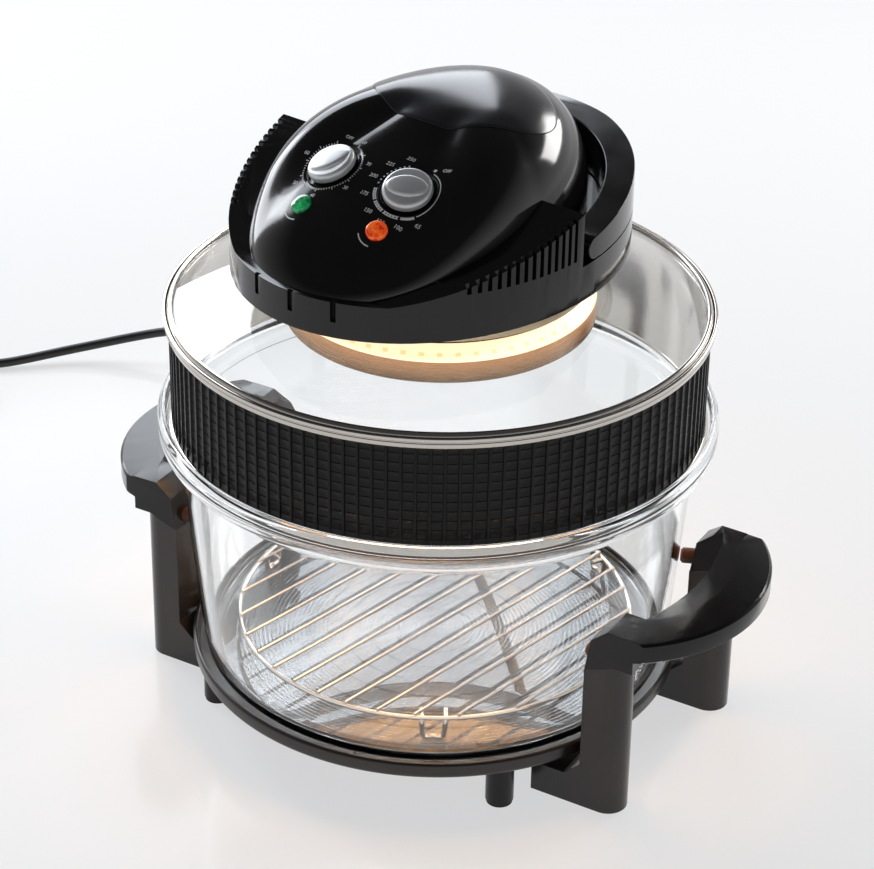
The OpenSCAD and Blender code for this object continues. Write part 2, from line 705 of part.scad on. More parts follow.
// A hollow funnel between the lid's hub and the head's oval underside
module funnel(low, high, inset) {
    hull() {
        translate([0, 0, low]) cylinder(h = 0.1, r = hub_hole_r + 2.5 - inset, $fn = 64);
        translate([-head_left, -head_front, high - 0.1]) linear_extrude(0.1)
            oval(head_a - neck_in - inset, head_b - neck_in - inset);
    }
}

module neck_ring() {
    color([0.2, 0.12, 0.09]) translate([0, 0, hub_top]) rotate([0, 0, lid_turn]) difference() {
        funnel(0, neck_h, 0);
        funnel(neck_wall, neck_h + 1, neck_wall);
        translate([0, 0, -1]) cylinder(h = neck_h + 2, r = can_neck_r + 0.2, $fn = fine);
    }
}

module heater_can() {
    color([0.78, 0.74, 0.68]) rotate_extrude($fn = fine) polygon([
        [can_neck_r - 10, head_z - can_t], [can_neck_r - can_t, head_z - can_t],
        [can_neck_r - can_t, can_top_z - can_t], [can_r - can_t, can_step_z - can_t],
        [can_r - can_t, can_foot_z + can_t], [can_r - 5, can_foot_z + can_t],
        [can_r - 5, can_foot_z], [can_r, can_foot_z], [can_r, can_step_z],
        [can_neck_r + 1, can_top_z], [can_neck_r, can_top_z + 1], [can_neck_r, head_z],
        [can_neck_r - 10, head_z]]);
}

module reflector_plate() {
    z = can_top_z + 2;
    color([0.85, 0.85, 0.85]) difference() {
        translate([0, 0, z]) cylinder(h = 1, r = can_neck_r - can_t - 0.1, $fn = fine);
        translate([0, 0, z - 1]) cylinder(h = 3, r = shaft_r + 4, $fn = 48);
        translate([tube_ring_r, 0, z - 1]) cylinder(h = 3, r = 1, $fn = 24);
    }
}

tube_z = can_top_z - tube_d / 2 - 2.6;
holder_half = 11;
holder_w = 8;

module halogen_tube() {
    color([1, 0.93, 0.8]) translate([0, 0, tube_z]) rotate([0, 0, 90 + holder_half])
        rotate_extrude(angle = 360 - 2 * holder_half, $fn = fine)
            translate([tube_ring_r, 0]) circle(r = tube_d / 2, $fn = 24);
}

// Two ceramic blocks under the reflector hold the tube's ends
module lamp_holders() {
    color([0.9, 0.88, 0.82]) for (s = [-1, 1]) rotate([0, 0, 90 + s * (holder_half - asin(holder_w / 2 / (tube_ring_r - tube_d / 2)))])
        translate([tube_ring_r - 6, -holder_w / 2, tube_z - 5]) cube([12, holder_w, can_top_z + 2 - tube_z + 5]);
}

module fan_guard() {
    z = can_foot_z + can_t;
    color([0.8, 0.78, 0.74]) difference() {
        translate([0, 0, z]) cylinder(h = 1, r = can_r - can_t - 0.2, $fn = fine);
        translate([0, 0, z - 1]) cylinder(h = 3, r = nut_r + 1.8, $fn = 64);
        for (k = [0:guard_slots - 1]) rotate([0, 0, 360 * (k + 0.5) / guard_slots])
            translate([26, -2, z - 1]) cube([can_r - 36, 4, 3]);
    }
}

// Head, in its own turned frame

// Everything under the shoulder plane, ahead of the shoulders' rear faces
module under_shoulders(drop = 0) {
    rise = tan(shoulder_rise);
    far = head_b + 20;
    translate([-head_a - 10, 0, 0]) rotate([90, 0, 90]) linear_extrude(2 * head_a + 20) polygon([
        [-far, -5], [wing_back - drop, -5], [wing_back - drop, shoulder_h(wing_back - drop) - drop],
        [-far, shoulder_h(-far) - drop]]);
}

module head_block() {
    intersection() {
        linear_extrude(100) oval(head_a, head_b);
        union() {
            under_shoulders();
            translate([-head_a - 1, -head_b - 1, -1]) cube([2 * head_a + 2, 2 * head_b + 2, deck_h + 1]);
            translate([-head_a - 1, -head_b - 1, -1]) cube([2 * head_a + 2, 10, skirt_h]);
        }
    }
}

module head_cavity() {
    low = min(skirt_h, deck_h) - head_t;
    translate([0, 0, -1]) linear_extrude(low + 1) oval(head_a - head_t, head_b - head_t);
    intersection() {
        translate([0, 0, low - bite]) linear_extrude(100) oval(head_a - head_t - groove_depth - 2, head_b - head_t - 2);
        union() {
            under_shoulders(head_t);
            translate([-head_a, -head_b, 0]) cube([2 * head_a, 2 * head_b, deck_h - head_t]);
        }
    }
}

module head_shell() {
    groove_z = deck_h + 5.5;
    first = wing_back - 7 - groove_pitch * (groove_count - 1);
    color([0.05, 0.05, 0.05]) on_head() {
        difference() {
            head_block();
            head_cavity();
            translate([0, -hood_shift, 5]) linear_extrude(100) oval(hood_a - 7, hood_b - 7);
            for (i = [0:groove_count - 1], s = [-1, 1]) {
                y = first + i * groove_pitch;
                translate([s * ellipse_x(head_a, head_b, y), y, groove_z])
                    rotate([0, 0, atan2(y * pow(head_a, 2), ellipse_x(head_a, head_b, y) * s * pow(head_b, 2))])
                        translate([-groove_depth, -1.3, 0]) cube([groove_depth + 8, 2.6, 80]);
            }
            for (x = [-notch_step, 0, notch_step])
                translate([x - 1.6, -ellipse_x(head_b, head_a, x) - 3, skirt_h - 6.5]) cube([3.2, 5.2, 12]);
            translate([exit_x, back_y - 12, exit_h]) rotate([-90, 0, 0])
                cylinder(h = 30, r = cord_d / 2 + 1.6, $fn = 48);
            translate([switch_at.x, switch_at.y, deck_h - 8]) cylinder(h = 20, r = switch_r + run_gap, $fn = 64);
        }
        for (s = [-1, 1]) difference() {
            translate([s * (lug_in + lug_out) / 2, pivot_y, 0]) {
                translate([-3, -6, deck_h - 1]) cube([6, 12, pivot_z - deck_h + 1]);
                translate([-3, 0, pivot_z]) rotate([0, 90, 0]) cylinder(h = 6, r = 6, $fn = 48);
            }
            translate([s * (lug_in + lug_out) / 2 - 10, pivot_y, pivot_z]) rotate([0, 90, 0])
                cylinder(h = 20, r = pivot_r, $fn = 48);
        }
        for (p = head_screw_places) translate([p.x, p.y, base_t]) difference() {
            cylinder(h = roof_h(p.y) - head_t / 2 - base_t, r = 5, $fn = 32);
            translate([0, 0, -1]) cylinder(h = 12, r = screw_r, $fn = 24);
        }
    }
}

module head_base() {
    color([0.14, 0.11, 0.1]) on_head() difference() {
        linear_extrude(base_t) oval(head_a - head_t - 0.2, head_b - head_t - 0.2);
        translate([head_left, head_front, -1]) cylinder(h = 5, r = shaft_r + 5, $fn = 48);
        for (p = head_screw_places) translate([p.x, p.y, -1]) cylinder(h = 5, r = screw_r + 0.5, $fn = 24);
        for (k = [0:11]) translate([head_left, head_front, 0]) rotate([0, 0, 30 * k]) translate([can_neck_r + 8, -1.5, -1]) cube([8, 3, 5]);
    }
}

function hood_ring(s, e, n) = [
    for (i = [0:n - 1])
        let (a = 360 * i / n, edge = [(hood_a - e) * cos(a), -hood_shift + (hood_b - e) * sin(a)],
             p = [0, crown_y] + s * (edge - [0, crown_y]))
        [p.x, p.y, hood_h_at(s, edge.y, e)]];

// The hood as a closed lump from height floor_z up to its swelling surface, inset by e
module hood_lump(e, floor_z) {
    n = 64;
    levels = [0.08, 0.2, 0.32, 0.44, 0.56, 0.67, 0.77, 0.85, 0.91, 0.955, 0.982, 0.995, 1];
    rings = len(levels);
    top = [for (s = levels) each hood_ring(s, e, n)];
    foot = [for (p = hood_ring(1, e, n)) [p.x, p.y, floor_z]];
    crown = [0, crown_y, crown_h - e];
    sole = [0, crown_y, floor_z];
    crown_i = n * (rings + 1);
    skin = [
        for (j = [0:rings - 1], i = [0:n - 1])
            let (a = j * n + i, b = j * n + (i + 1) % n)
            each [[a, a + n, b + n], [a, b + n, b]]];
    caps = [
        for (i = [0:n - 1])
            let (b = (i + 1) % n)
            each [[crown_i, i, b], [crown_i + 1, rings * n + b, rings * n + i]]];
    polyhedron(concat(top, foot, [crown, sole]), [for (f = concat(skin, caps)) [f[0], f[2], f[1]]], convexity = 4);
}

module control_hood() {
    color([0.04, 0.04, 0.04]) on_head() difference() {
        hood_lump(0, 14);
        hood_lump(hood_t, 8);
        head_block();
        for (x = [-dial_x, dial_x]) on_hood(x, -dial_y)
            translate([0, 0, -10]) cylinder(h = 20, r = spindle_r + 0.6, $fn = 48);
        for (x = [-lamp_x, lamp_x]) on_hood(x, -lamp_y)
            translate([0, 0, -10]) cylinder(h = 20, r = lamp_r - 0.8, $fn = 48);
    }
}

// A clear shield on the hood's crown, an oval patch that follows the surface
shield_a = 58;
shield_b = 42;
shield_y = 28;
shield_gap = 0.6;

module hood_lens() {
    n = 40;
    levels = [0.17, 0.34, 0.51, 0.68, 0.84, 1];
    lift = 2;
    function patch(s, z) = [
        for (i = [0:n - 1])
            let (x = shield_a * s * cos(360 * i / n), y = shield_y + shield_b * s * sin(360 * i / n))
            [x, y, hood_h(x, y) + z]];
    upper = [for (s = levels) each patch(s, s == 1 ? shield_gap + 0.4 : lift)];
    lower = [for (s = levels) each patch(s, shield_gap)];
    half = n * len(levels);
    top_i = 2 * half;
    skin = [
        for (j = [0:len(levels) - 2], i = [0:n - 1])
            let (a = j * n + i, b = j * n + (i + 1) % n)
            each [[a, b + n, a + n], [a, b, b + n],
                  [half + a, half + a + n, half + b + n], [half + a, half + b + n, half + b]]];
    rim = [
        for (i = [0:n - 1])
            let (a = half - n + i, b = half - n + (i + 1) % n)
            each [[a, b, half + b], [a, half + b, half + a]]];
    mid = [
        for (i = [0:n - 1])
            let (b = (i + 1) % n) each [[top_i, b, i], [top_i + 1, half + i, half + b]]];
    centre = hood_h(0, shield_y);
    color([0.1, 0.1, 0.11]) on_head() polyhedron(
        concat(upper, lower, [[0, shield_y, centre + lift], [0, shield_y, centre + shield_gap]]),
        concat(skin, rim, mid), convexity = 4);
}

// Motor and rotating parts

module motor_core() {
    color([0.5, 0.5, 0.52]) on_axis() difference() {
        translate([-core_side / 2, -core_side / 2 + 3, core_z]) cube([core_side, core_side - 6, core_h]);
        translate([0, 0, core_z - 1]) cylinder(h = core_h + 2, r = rotor_r + rotor_gap, $fn = 64);
        translate([20, -13, core_z - 1]) cube([core_side, 26, core_h + 2]);
    }
}

module motor_coil() {
    color([0.72, 0.4, 0.2]) on_axis() translate([20.5, -12.5, core_z - 2])
        cube([core_side / 2 - 14, 25, core_h + 4]);
}

module motor_brackets() {
    color([0.75, 0.75, 0.76]) on_axis() {
        for (z = [core_z - 3, bracket_z]) difference() {
            union() {
                translate([-core_side / 2, -7, z]) cube([core_side * 0.83, 14, 3]);
                translate([0, 0, z]) cylinder(h = 3, r = 12, $fn = 48);
            }
            translate([0, 0, z - 1]) cylinder(h = 5, r = shaft_r + run_gap, $fn = 64);
        }
        for (x = [-core_side / 2 + 5], y = [-18, 18])
            translate([x, y, base_t]) cylinder(h = core_z - base_t, r = 4, $fn = 32);
        translate([12, -18, base_t]) cylinder(h = core_z - base_t, r = 4, $fn = 32);
        translate([12, 18, base_t]) cylinder(h = core_z - base_t, r = 4, $fn = 32);
    }
}

module motor_shaft() {
    low = hot_fan_z - 2;
    color([0.7, 0.7, 0.72]) on_axis() {
        translate([0, 0, low]) cylinder(h = cool_fan_z + 10 - low, r = shaft_r, $fn = 64);
        translate([0, 0, core_z + 1.5]) cylinder(h = core_h - 3, r = rotor_r, $fn = 64);
    }
}

// A pressed fan: a hub plate with upright blades standing on it
module fan(r, z, blade_h, thick) {
    difference() {
        union() {
            translate([0, 0, z]) cylinder(h = thick, r = r * 0.55, $fn = 64);
            translate([0, 0, z]) cylinder(h = 5, r = shaft_r + 2.6, $fn = 48);
            for (k = [0:fan_blades - 1]) rotate([0, 0, 360 * k / fan_blades])
                translate([shaft_r + 3, -thick / 2, z]) rotate([24, 0, 0])
                    cube([r - shaft_r - 3, thick, blade_h]);
        }
        translate([0, 0, z - 5]) cylinder(h = blade_h + 15, r = shaft_r, $fn = 64);
    }
}

module cooling_fan() { color([0.15, 0.15, 0.16]) on_axis() fan(cool_fan_r, cool_fan_z, 8, 1.2); }
module hot_fan() { color([0.8, 0.8, 0.8]) on_axis() fan(hot_fan_r, hot_fan_z, 7, 1); }

module fan_nut() {
    color([0.7, 0.66, 0.4]) on_axis() translate([0, 0, hot_fan_z - 3]) difference() {
        cylinder(h = 3, r = nut_r, $fn = 6);
        translate([0, 0, 1]) cylinder(h = 9, r = shaft_r, $fn = 64);
    }
}

// Controls. Each unit hangs under the hood and its spindle passes through it

module unit_body(r) {
    top = -hood_t - unit_gap;
    difference() {
        union() {
            translate([0, 0, top - unit_deep]) cylinder(h = unit_deep, r = r, $fn = 64);
            translate([-4, r - 4, top - unit_deep - 6]) cube([8, 2, 7]);
            translate([0, 0, top - bite]) cylinder(h = unit_gap - 0.8, r = spindle_r + 2.4, $fn = 48);
        }
        translate([0, 0, -hood_t - 12]) cylinder(h = 20, r = spindle_r + run_gap, $fn = 64);
    }
}

module spindle() { translate([0, 0, -hood_t - 11.5]) cylinder(h = hood_t + 11.5 + 5.8, r = spindle_r, $fn = 64); }

// A cupped knob with a raised bar across its face
module knob() {
    skirt = 2.2;
    difference() {
        union() {
            rotate_extrude($fn = 96) polygon([
                [0, skirt], [knob_r - 1.2, skirt], [knob_r, skirt + 1.2], [knob_r - 0.2, knob_h - 5],
                [knob_r - 1.4, knob_h - 3.4], [knob_r - 4, knob_h - 2.6], [0, knob_h - 3]]);
            intersection() {
                translate([-knob_r, -3.6, knob_h - 6]) cube([2 * knob_r, 7.2, 6]);
                cylinder(h = knob_h, r = knob_r - 1.6, $fn = 96);
            }
        }
        translate([0, 0, -1]) cylinder(h = 6.8, r = spindle_r, $fn = 64);
    }
}

module timer_unit() { color([0.75, 0.72, 0.66]) on_head() on_hood(-dial_x, -dial_y) unit_body(19); }
module timer_spindle() { color([0.8, 0.8, 0.8]) on_head() on_hood(-dial_x, -dial_y) spindle(); }
module timer_knob() { color([0.8, 0.82, 0.82]) on_head() on_hood(-dial_x, -dial_y) knob(); }
module thermostat_unit() { color([0.8, 0.74, 0.6]) on_head() on_hood(dial_x, -dial_y) unit_body(15); }
module thermostat_spindle() { color([0.8, 0.8, 0.8]) on_head() on_hood(dial_x, -dial_y) spindle(); }
module thermostat_knob() { color([0.8, 0.82, 0.82]) on_head() on_hood(dial_x, -dial_y) knob(); }

// The thermostat's bulb hangs through the reflector beside the fan
module thermostat_probe() {
    color([0.75, 0.5, 0.3]) translate([tube_ring_r - 0, 0, tube_z + 6.5])
        cylinder(h = can_top_z + 6 - tube_z - 6.5, r = 0.95, $fn = 24);
}

module lamp_lens() {
    translate([0, 0, lens_gap]) cylinder(h = 1.4, r = lamp_r, $fn = 48);
    translate([0, 0, 1.4]) cylinder(h = 1.4, r1 = lamp_r - 0.6, r2 = lamp_r - 3, $fn = 48);
    translate([0, 0, -hood_t - 3]) cylinder(h = hood_t + 3.5, r = lamp_r - 1, $fn = 48);
}

module power_lens() { color([0.1, 0.6, 0.3]) on_head() on_hood(-lamp_x, -lamp_y) lamp_lens(); }
module heat_lens() { color([0.95, 0.3, 0.1]) on_head() on_hood(lamp_x, -lamp_y) lamp_lens(); }

module lamp_bulbs() {
    color([0.95, 0.8, 0.6]) on_head() for (x = [-lamp_x, lamp_x]) on_hood(x, -lamp_y)
        translate([0, 0, -hood_t - 13]) cylinder(h = 10, r = 3, $fn = 32);
}

module safety_switch() {
    size = [8, 16, 7];
    color([0.13, 0.13, 0.14]) on_head() translate([switch_at.x, switch_at.y, deck_h - head_t])
        difference() {
            translate([-size.x / 2, -size.y / 2, -size.z]) cube(size);
            translate([0, 0, 1 - size.z]) cylinder(h = size.z, r = switch_r + run_gap, $fn = 64);
        }
}

module switch_plunger() {
    color([0.85, 0.82, 0.75]) on_head() translate([switch_at.x, switch_at.y, deck_h - head_t - 4.5])
        cylinder(h = head_t + 4.6, r = switch_r, $fn = 64);
}

module terminal_block() {
    color([0.85, 0.83, 0.78]) on_head() difference() {
        translate([-38, 74, base_t]) cube([36, 16, 11]);
        for (i = [0:2]) translate([-32 + 12 * i, 82, base_t + 4]) cylinder(h = 20, r = 2.4, $fn = 24);
    }
}

module handle_pins() {
    color([0.75, 0.75, 0.76]) on_head() for (s = [-1, 1]) {
        from = s > 0 ? lug_in - 1 : -(bail_tip_x + 8);
        translate([from, pivot_y, pivot_z]) rotate([0, 90, 0])
            cylinder(h = bail_tip_x + 8 - lug_in + 1, r = pivot_r, $fn = 48);
    }
}

module head_screws() {
    color([0.6, 0.6, 0.62]) on_head() for (p = head_screw_places) translate([p.x, p.y, 0]) {
        translate([0, 0, -1.8]) cylinder(h = 1.8, r = 3.4, $fn = 32);
        translate([0, 0, -bite]) cylinder(h = 9, r = screw_r, $fn = 24);
    }
}

// Carry handle: the rear half of the head's oval, rounded at its two tips
module carry_handle() {
    tip_r = bail_tip_h / 2;
    color([0.05, 0.05, 0.05]) on_head() difference() {
        intersection() {
            translate([0, 0, bail_z - 5]) linear_extrude(60) difference() {
                oval(head_a, head_b);
                oval(head_a - bail_w, head_b - bail_w);
            }
            translate([-head_a - 5, 0, 0]) rotate([90, 0, 90]) linear_extrude(2 * head_a + 10) union() {
                translate([pivot_y, pivot_z]) circle(r = tip_r, $fn = 64);
                polygon([
                    [pivot_y, bail_z], [head_b + 5, bail_z],
                    [head_b + 5, bail_z + bail_back_h], [head_b - 8, bail_z + bail_back_h],
                    [pivot_y, bail_z + bail_tip_h]]);
            }
        }
        for (s = [-1, 1]) translate([s * (bail_tip_x + 4), pivot_y, pivot_z]) rotate([0, 90, 0])
            translate([0, 0, -5.5]) cylinder(h = 10.5, r = pivot_r + run_gap, $fn = 48);
    }
}

// Mains lead

module strain_relief() {
    inner_r = cord_d / 2 + 1.5;
    color([0.06, 0.06, 0.06]) on_head() translate([exit_x, back_y, exit_h]) rotate([-90, 0, 0]) {
        translate([0, 0, -9]) cylinder(h = 10, r = inner_r, $fn = 48);
        translate([0, 0, -11]) cylinder(h = 2.6, r = min(inner_r + 2.5, exit_h - base_t - 0.1), $fn = 48);
        translate([0, 0, 0.6]) cylinder(h = 2, r = inner_r + 1.7, $fn = 48);
        translate([0, 0, 2]) cylinder(h = relief_len - 2, r1 = inner_r + 1.1, r2 = cord_d / 2 + 0.9, $fn = 48);
    }
}

relief_end = let (p = [exit_x - head_left, back_y - head_front + relief_len + bite])
    [p.x * cos(lid_turn) - p.y * sin(lid_turn), p.x * sin(lid_turn) + p.y * cos(lid_turn), head_z + exit_h];

module cord_run() {
    out = [-sin(lid_turn), cos(lid_turn), 0];
    line = concat([relief_end, relief_end + 3 * out], smooth_route(route, 3), [coil_point(0) - 0.02 * coil_way]);
    color([0.05, 0.05, 0.05]) sweep(line, cord_d / 2, 8);
}

// The coil winds inwards on the table, climbs one layer and winds out again
coil_way = [-sin(coil_start), cos(coil_start), 0];
function coil_point(turn) =
    let (half = coil_turns / 2,
         r = coil_r - coil_pitch * (half - abs(turn - half)),
         z = coil_z + coil_pitch * ramp((turn - half) / 0.5 + 0.5),
         a = coil_start + 360 * turn)
    [coil_mid.x + r * cos(a), coil_mid.y + r * sin(a), z];
coil_steps = 24 * coil_turns;
coil_line = [for (i = [0:coil_steps]) coil_point(i / 24)];
coil_tail = concat(coil_line, [for (d = [10, 20, tail_len]) coil_line[coil_steps] + d * coil_way]);

module cord_coil() {
    color([0.05, 0.05, 0.05]) sweep(coil_tail, cord_d / 2, 6);
}

// Plug: a flat-backed three-pin body lying on its back
plug_turn = coil_start + 90;
plug_at = coil_line[coil_steps] + (tail_len + bite) * coil_way;
grip_len = 18;

module at_plug() { translate([plug_at.x, plug_at.y, 0]) rotate([0, 0, plug_turn]) children(); }

module plug_body() {
    color([0.06, 0.06, 0.06]) at_plug() difference() {
        union() {
            translate([0, 0, plug_at.z]) rotate([0, 90, 0])
                cylinder(h = grip_len + 3, r1 = cord_d / 2 + 0.9, r2 = cord_d / 2 + 2.6, $fn = 48);
            linear_extrude(plug_t) polygon([
                [grip_len, -plug_w / 2 + 12], [grip_len + 10, -plug_w / 2],
                [grip_len + plug_len - 5, -plug_w / 2], [grip_len + plug_len, -plug_w / 2 + 5],
                [grip_len + plug_len, plug_w / 2 - 5], [grip_len + plug_len - 5, plug_w / 2],
                [grip_len + 10, plug_w / 2], [grip_len, plug_w / 2 - 12]]);
        }
        for (p = plug_pin_places) translate([p.x, p.y, plug_t - 6])
            linear_extrude(10) square([p.z, p[3]], center = true);
    }
}

// Each pin: distance along the plug, distance across, thickness along, width across, length
plug_pin_places = [
    [grip_len + plug_len - 33, -11.1, 4, 6.4, 17.7], [grip_len + plug_len - 33, 11.1, 4, 6.4, 17.7],
    [grip_len + plug_len - 10.8, 0, 8, 4, 22.7]];

module plug_pins() {
    color([0.8, 0.68, 0.35]) at_plug() for (p = plug_pin_places) translate([p.x, p.y, plug_t - 6])
        linear_extrude(6 + p[4]) square([p.z, p[3]], center = true);
}

// Least gap of the coil to itself, between points that aren't neighbours along it
coil_gap = min([
    for (i = [0:coil_steps + 3], j = [i + 6:1:coil_steps + 3]) norm(coil_tail[i] - coil_tail[j])]) - cord_d;
echo("least gap between the coil's loops", coil_gap);

function length_of(p) = len(p) < 2 ? 0 : norm(p[1] - p[0]) + length_of([for (i = [1:len(p) - 1]) p[i]]);
echo("length of lead", relief_len + length_of(smooth_route(route, 3)), length_of(coil_tail));

base_tray();
front_left_leg();
front_right_leg();
rear_left_leg();
rear_right_leg();
left_grip();
right_grip();
tray_feet();
foot_pads();
bowl_pads();
bowl_bumpers();
stand_screws();
glass_bowl();
cooking_rack();
extender_ring();
ring_band();
lid_glass();
lid_rim();
lid_gasket();
hub_seal();
neck_ring();
heater_can();
reflector_plate();
halogen_tube();
lamp_holders();
fan_guard();
head_shell();
head_base();
control_hood();
hood_lens();
motor_core();
motor_coil();
motor_brackets();
motor_shaft();
cooling_fan();
hot_fan();
fan_nut();
timer_unit();
timer_spindle();
timer_knob();
thermostat_unit();
thermostat_spindle();
thermostat_knob();
thermostat_probe();
power_lens();
heat_lens();
lamp_bulbs();
safety_switch();
switch_plunger();
terminal_block();
handle_pins();
head_screws();
carry_handle();
strain_relief();
cord_run();
cord_coil();
plug_body();
plug_pins();
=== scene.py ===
"""A halogen oven on its stand: a glass bowl, a steel extender ring, a glass lid and a heater head.
Sizes are in millimetres in the object's frame. Lamps, the camera and materials work in metres."""

import bmesh
import bpy
import numpy as np
from mathutils import Matrix


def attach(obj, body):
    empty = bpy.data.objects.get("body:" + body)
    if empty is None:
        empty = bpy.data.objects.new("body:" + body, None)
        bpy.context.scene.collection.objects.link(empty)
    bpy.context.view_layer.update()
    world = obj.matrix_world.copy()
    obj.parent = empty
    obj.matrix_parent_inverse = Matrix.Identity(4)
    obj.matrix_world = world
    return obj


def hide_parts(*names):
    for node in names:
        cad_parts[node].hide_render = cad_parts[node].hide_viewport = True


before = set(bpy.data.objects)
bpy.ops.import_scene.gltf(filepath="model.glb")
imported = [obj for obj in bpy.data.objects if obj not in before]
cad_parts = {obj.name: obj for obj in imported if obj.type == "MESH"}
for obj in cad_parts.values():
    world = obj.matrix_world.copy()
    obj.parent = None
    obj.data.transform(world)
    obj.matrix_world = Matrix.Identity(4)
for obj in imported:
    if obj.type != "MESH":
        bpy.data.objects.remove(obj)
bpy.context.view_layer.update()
TURN = 2 * np.pi


# The studio: a white floor with a faint gloss, big soft lamps and the camera of a product shot.
# The floor shows white to the lens and in glass and steel, and keeps the oven's shadow.


class Wire:
    """A number on its way through a material. + - * / ** < > between wires and numbers add Math nodes."""

    def __init__(self, shading, socket):
        self.shading, self.socket = shading, socket

    def maths(self, operation, *others, clamp=False):
        """This number and the others through one Math node."""
        return self.shading.maths(operation, self, *others, clamp=clamp)

    def __add__(self, other):
        return self.maths("ADD", other)

    def __sub__(self, other):
        return self.maths("SUBTRACT", other)

    def __rsub__(self, other):
        return self.shading.maths("SUBTRACT", other, self)

    def __mul__(self, other):
        return self.maths("MULTIPLY", other)

    def __truediv__(self, other):
        return self.maths("DIVIDE", other)

    def __pow__(self, other):
        return self.maths("POWER", other)

    def __abs__(self):
        return self.maths("ABSOLUTE")

    def __gt__(self, other):
        return self.maths("GREATER_THAN", other)

    def __lt__(self, other):
        return self.maths("LESS_THAN", other)

    __radd__, __rmul__ = __add__, __mul__


class Shading:
    """The shader nodes of a material or of the world, which end in one output."""

    def __init__(self, tree, end="OutputMaterial"):
        self.tree = tree
        tree.nodes.clear()
        self.end = tree.nodes.new("ShaderNode" + end)

    def surface(self, shader):
        """Sends a shader to the output."""
        self.tree.links.new(shader.socket, self.end.inputs["Surface"])

    def node(self, kind, settings=None, values=None, out=0):
        """Adds a node, its settings first and then its sockets. Returns the output named or numbered out."""
        made = self.tree.nodes.new("ShaderNode" + kind)
        for key, value in (settings or {}).items():
            if key == "stops":
                for _ in value[2:]:
                    made.color_ramp.elements.new(1.0)
                for stop, (position, colour) in zip(made.color_ramp.elements, value):
                    stop.position, stop.color = position, (*colour, 1)
            else:
                setattr(made, key, value)
        self.fill(made, values or {})
        return Wire(self, made.outputs[out])

    def fill(self, made, values):
        """Links each socket of a node that is given a wire, and sets the others."""
        for key, value in values.items():
            socket = made.inputs[key]
            if isinstance(value, Wire):
                self.tree.links.new(value.socket, socket)
            elif socket.type == "RGBA":
                socket.default_value = (*value, 1)
            else:
                socket.default_value = value

    def maths(self, operation, *values, clamp=False):
        return self.node("Math", {"operation": operation, "use_clamp": clamp}, dict(enumerate(values)))

    def mix(self, mask, a, b):
        """Colour a where the mask is 0, colour b where it is 1."""
        return self.node("Mix", {"data_type": "RGBA"}, {0: mask, 6: a, 7: b}, 2)


class Finish(Shading):
    """One material: a Principled shader, and patterns in the object's own coordinates."""

    def __init__(self, name, sockets):
        self.material = bpy.data.materials.new(name)
        self.material.use_nodes = True
        super().__init__(self.material.node_tree)
        self.place = self.node("TexCoord", out="Object")
        self.shader = self.node("BsdfPrincipled", {}, sockets)
        self.surface(self.shader)

    def set(self, sockets):
        """Sets or links sockets of the main shader."""
        self.fill(self.shader.socket.node, sockets)
        return self

    def axis(self, which):
        """The X, Y or Z of the object's own coordinates."""
        return self.node("SeparateXYZ", {}, {0: self.place}, which)

    def noise(self, scale, detail=3.0, stretch=(1, 1, 1)):
        """Soft random value about 0.5, scale times per metre, stretched along the axes."""
        where = self.node("Mapping", {}, {"Vector": self.place, "Scale": stretch})
        return self.node("TexNoise", {}, {"Vector": where, "Scale": scale, "Detail": detail})

    def bump(self, height, distance):
        """Tilts the surface as if it stood out by height times distance in metres."""
        return self.set({"Normal": self.node("Bump", {}, {"Height": height, "Distance": distance})})


def polar(radius, angle, height):
    """Points (r cos a, r sin a, h). Radius, angle and height spread over each other as arrays do."""
    return np.stack(np.broadcast_arrays(radius * np.cos(angle), radius * np.sin(angle), height), -1)


def heading(degrees):
    """The level direction at that angle from +X."""
    return polar(1.0, np.radians(degrees), 0.0)


def meshed(name, points, faces):
    """A mesh in metres from points in millimetres, its doubles merged and its faces turned outwards."""
    mesh = bpy.data.meshes.new(name)
    mesh.from_pydata((np.reshape(points, (-1, 3)) / 1000).tolist(), [], np.asarray(faces).tolist())
    shape = bmesh.new()
    shape.from_mesh(mesh)
    bmesh.ops.remove_doubles(shape, verts=shape.verts, dist=2e-6)
    bmesh.ops.dissolve_degenerate(shape, edges=shape.edges, dist=1e-7)
    bmesh.ops.recalc_face_normals(shape, faces=shape.faces)
    shape.to_mesh(mesh)
    shape.free()
    return mesh


def added(name, data):
    """A new object of the scene, with its origin at the frame's."""
    thing = bpy.data.objects.new(name, data)
    bpy.context.scene.collection.objects.link(thing)
    return thing


def lamp(name, at, to, size, watts, colour):
    """A soft rectangular lamp at one point, in metres, facing another."""
    data = bpy.data.lights.new(name, "AREA")
    data.shape, data.size, data.size_y = "RECTANGLE", size[0], size[1]
    data.energy, data.color = watts, colour
    away = np.subtract(at, to) / np.linalg.norm(np.subtract(at, to))
    side = np.cross((0, 0, 1), away)
    side /= np.linalg.norm(side)
    axes = np.column_stack([side, np.cross(away, side), away, at])
    added(name, data).matrix_world = Matrix([*axes.tolist(), [0, 0, 0, 1]])


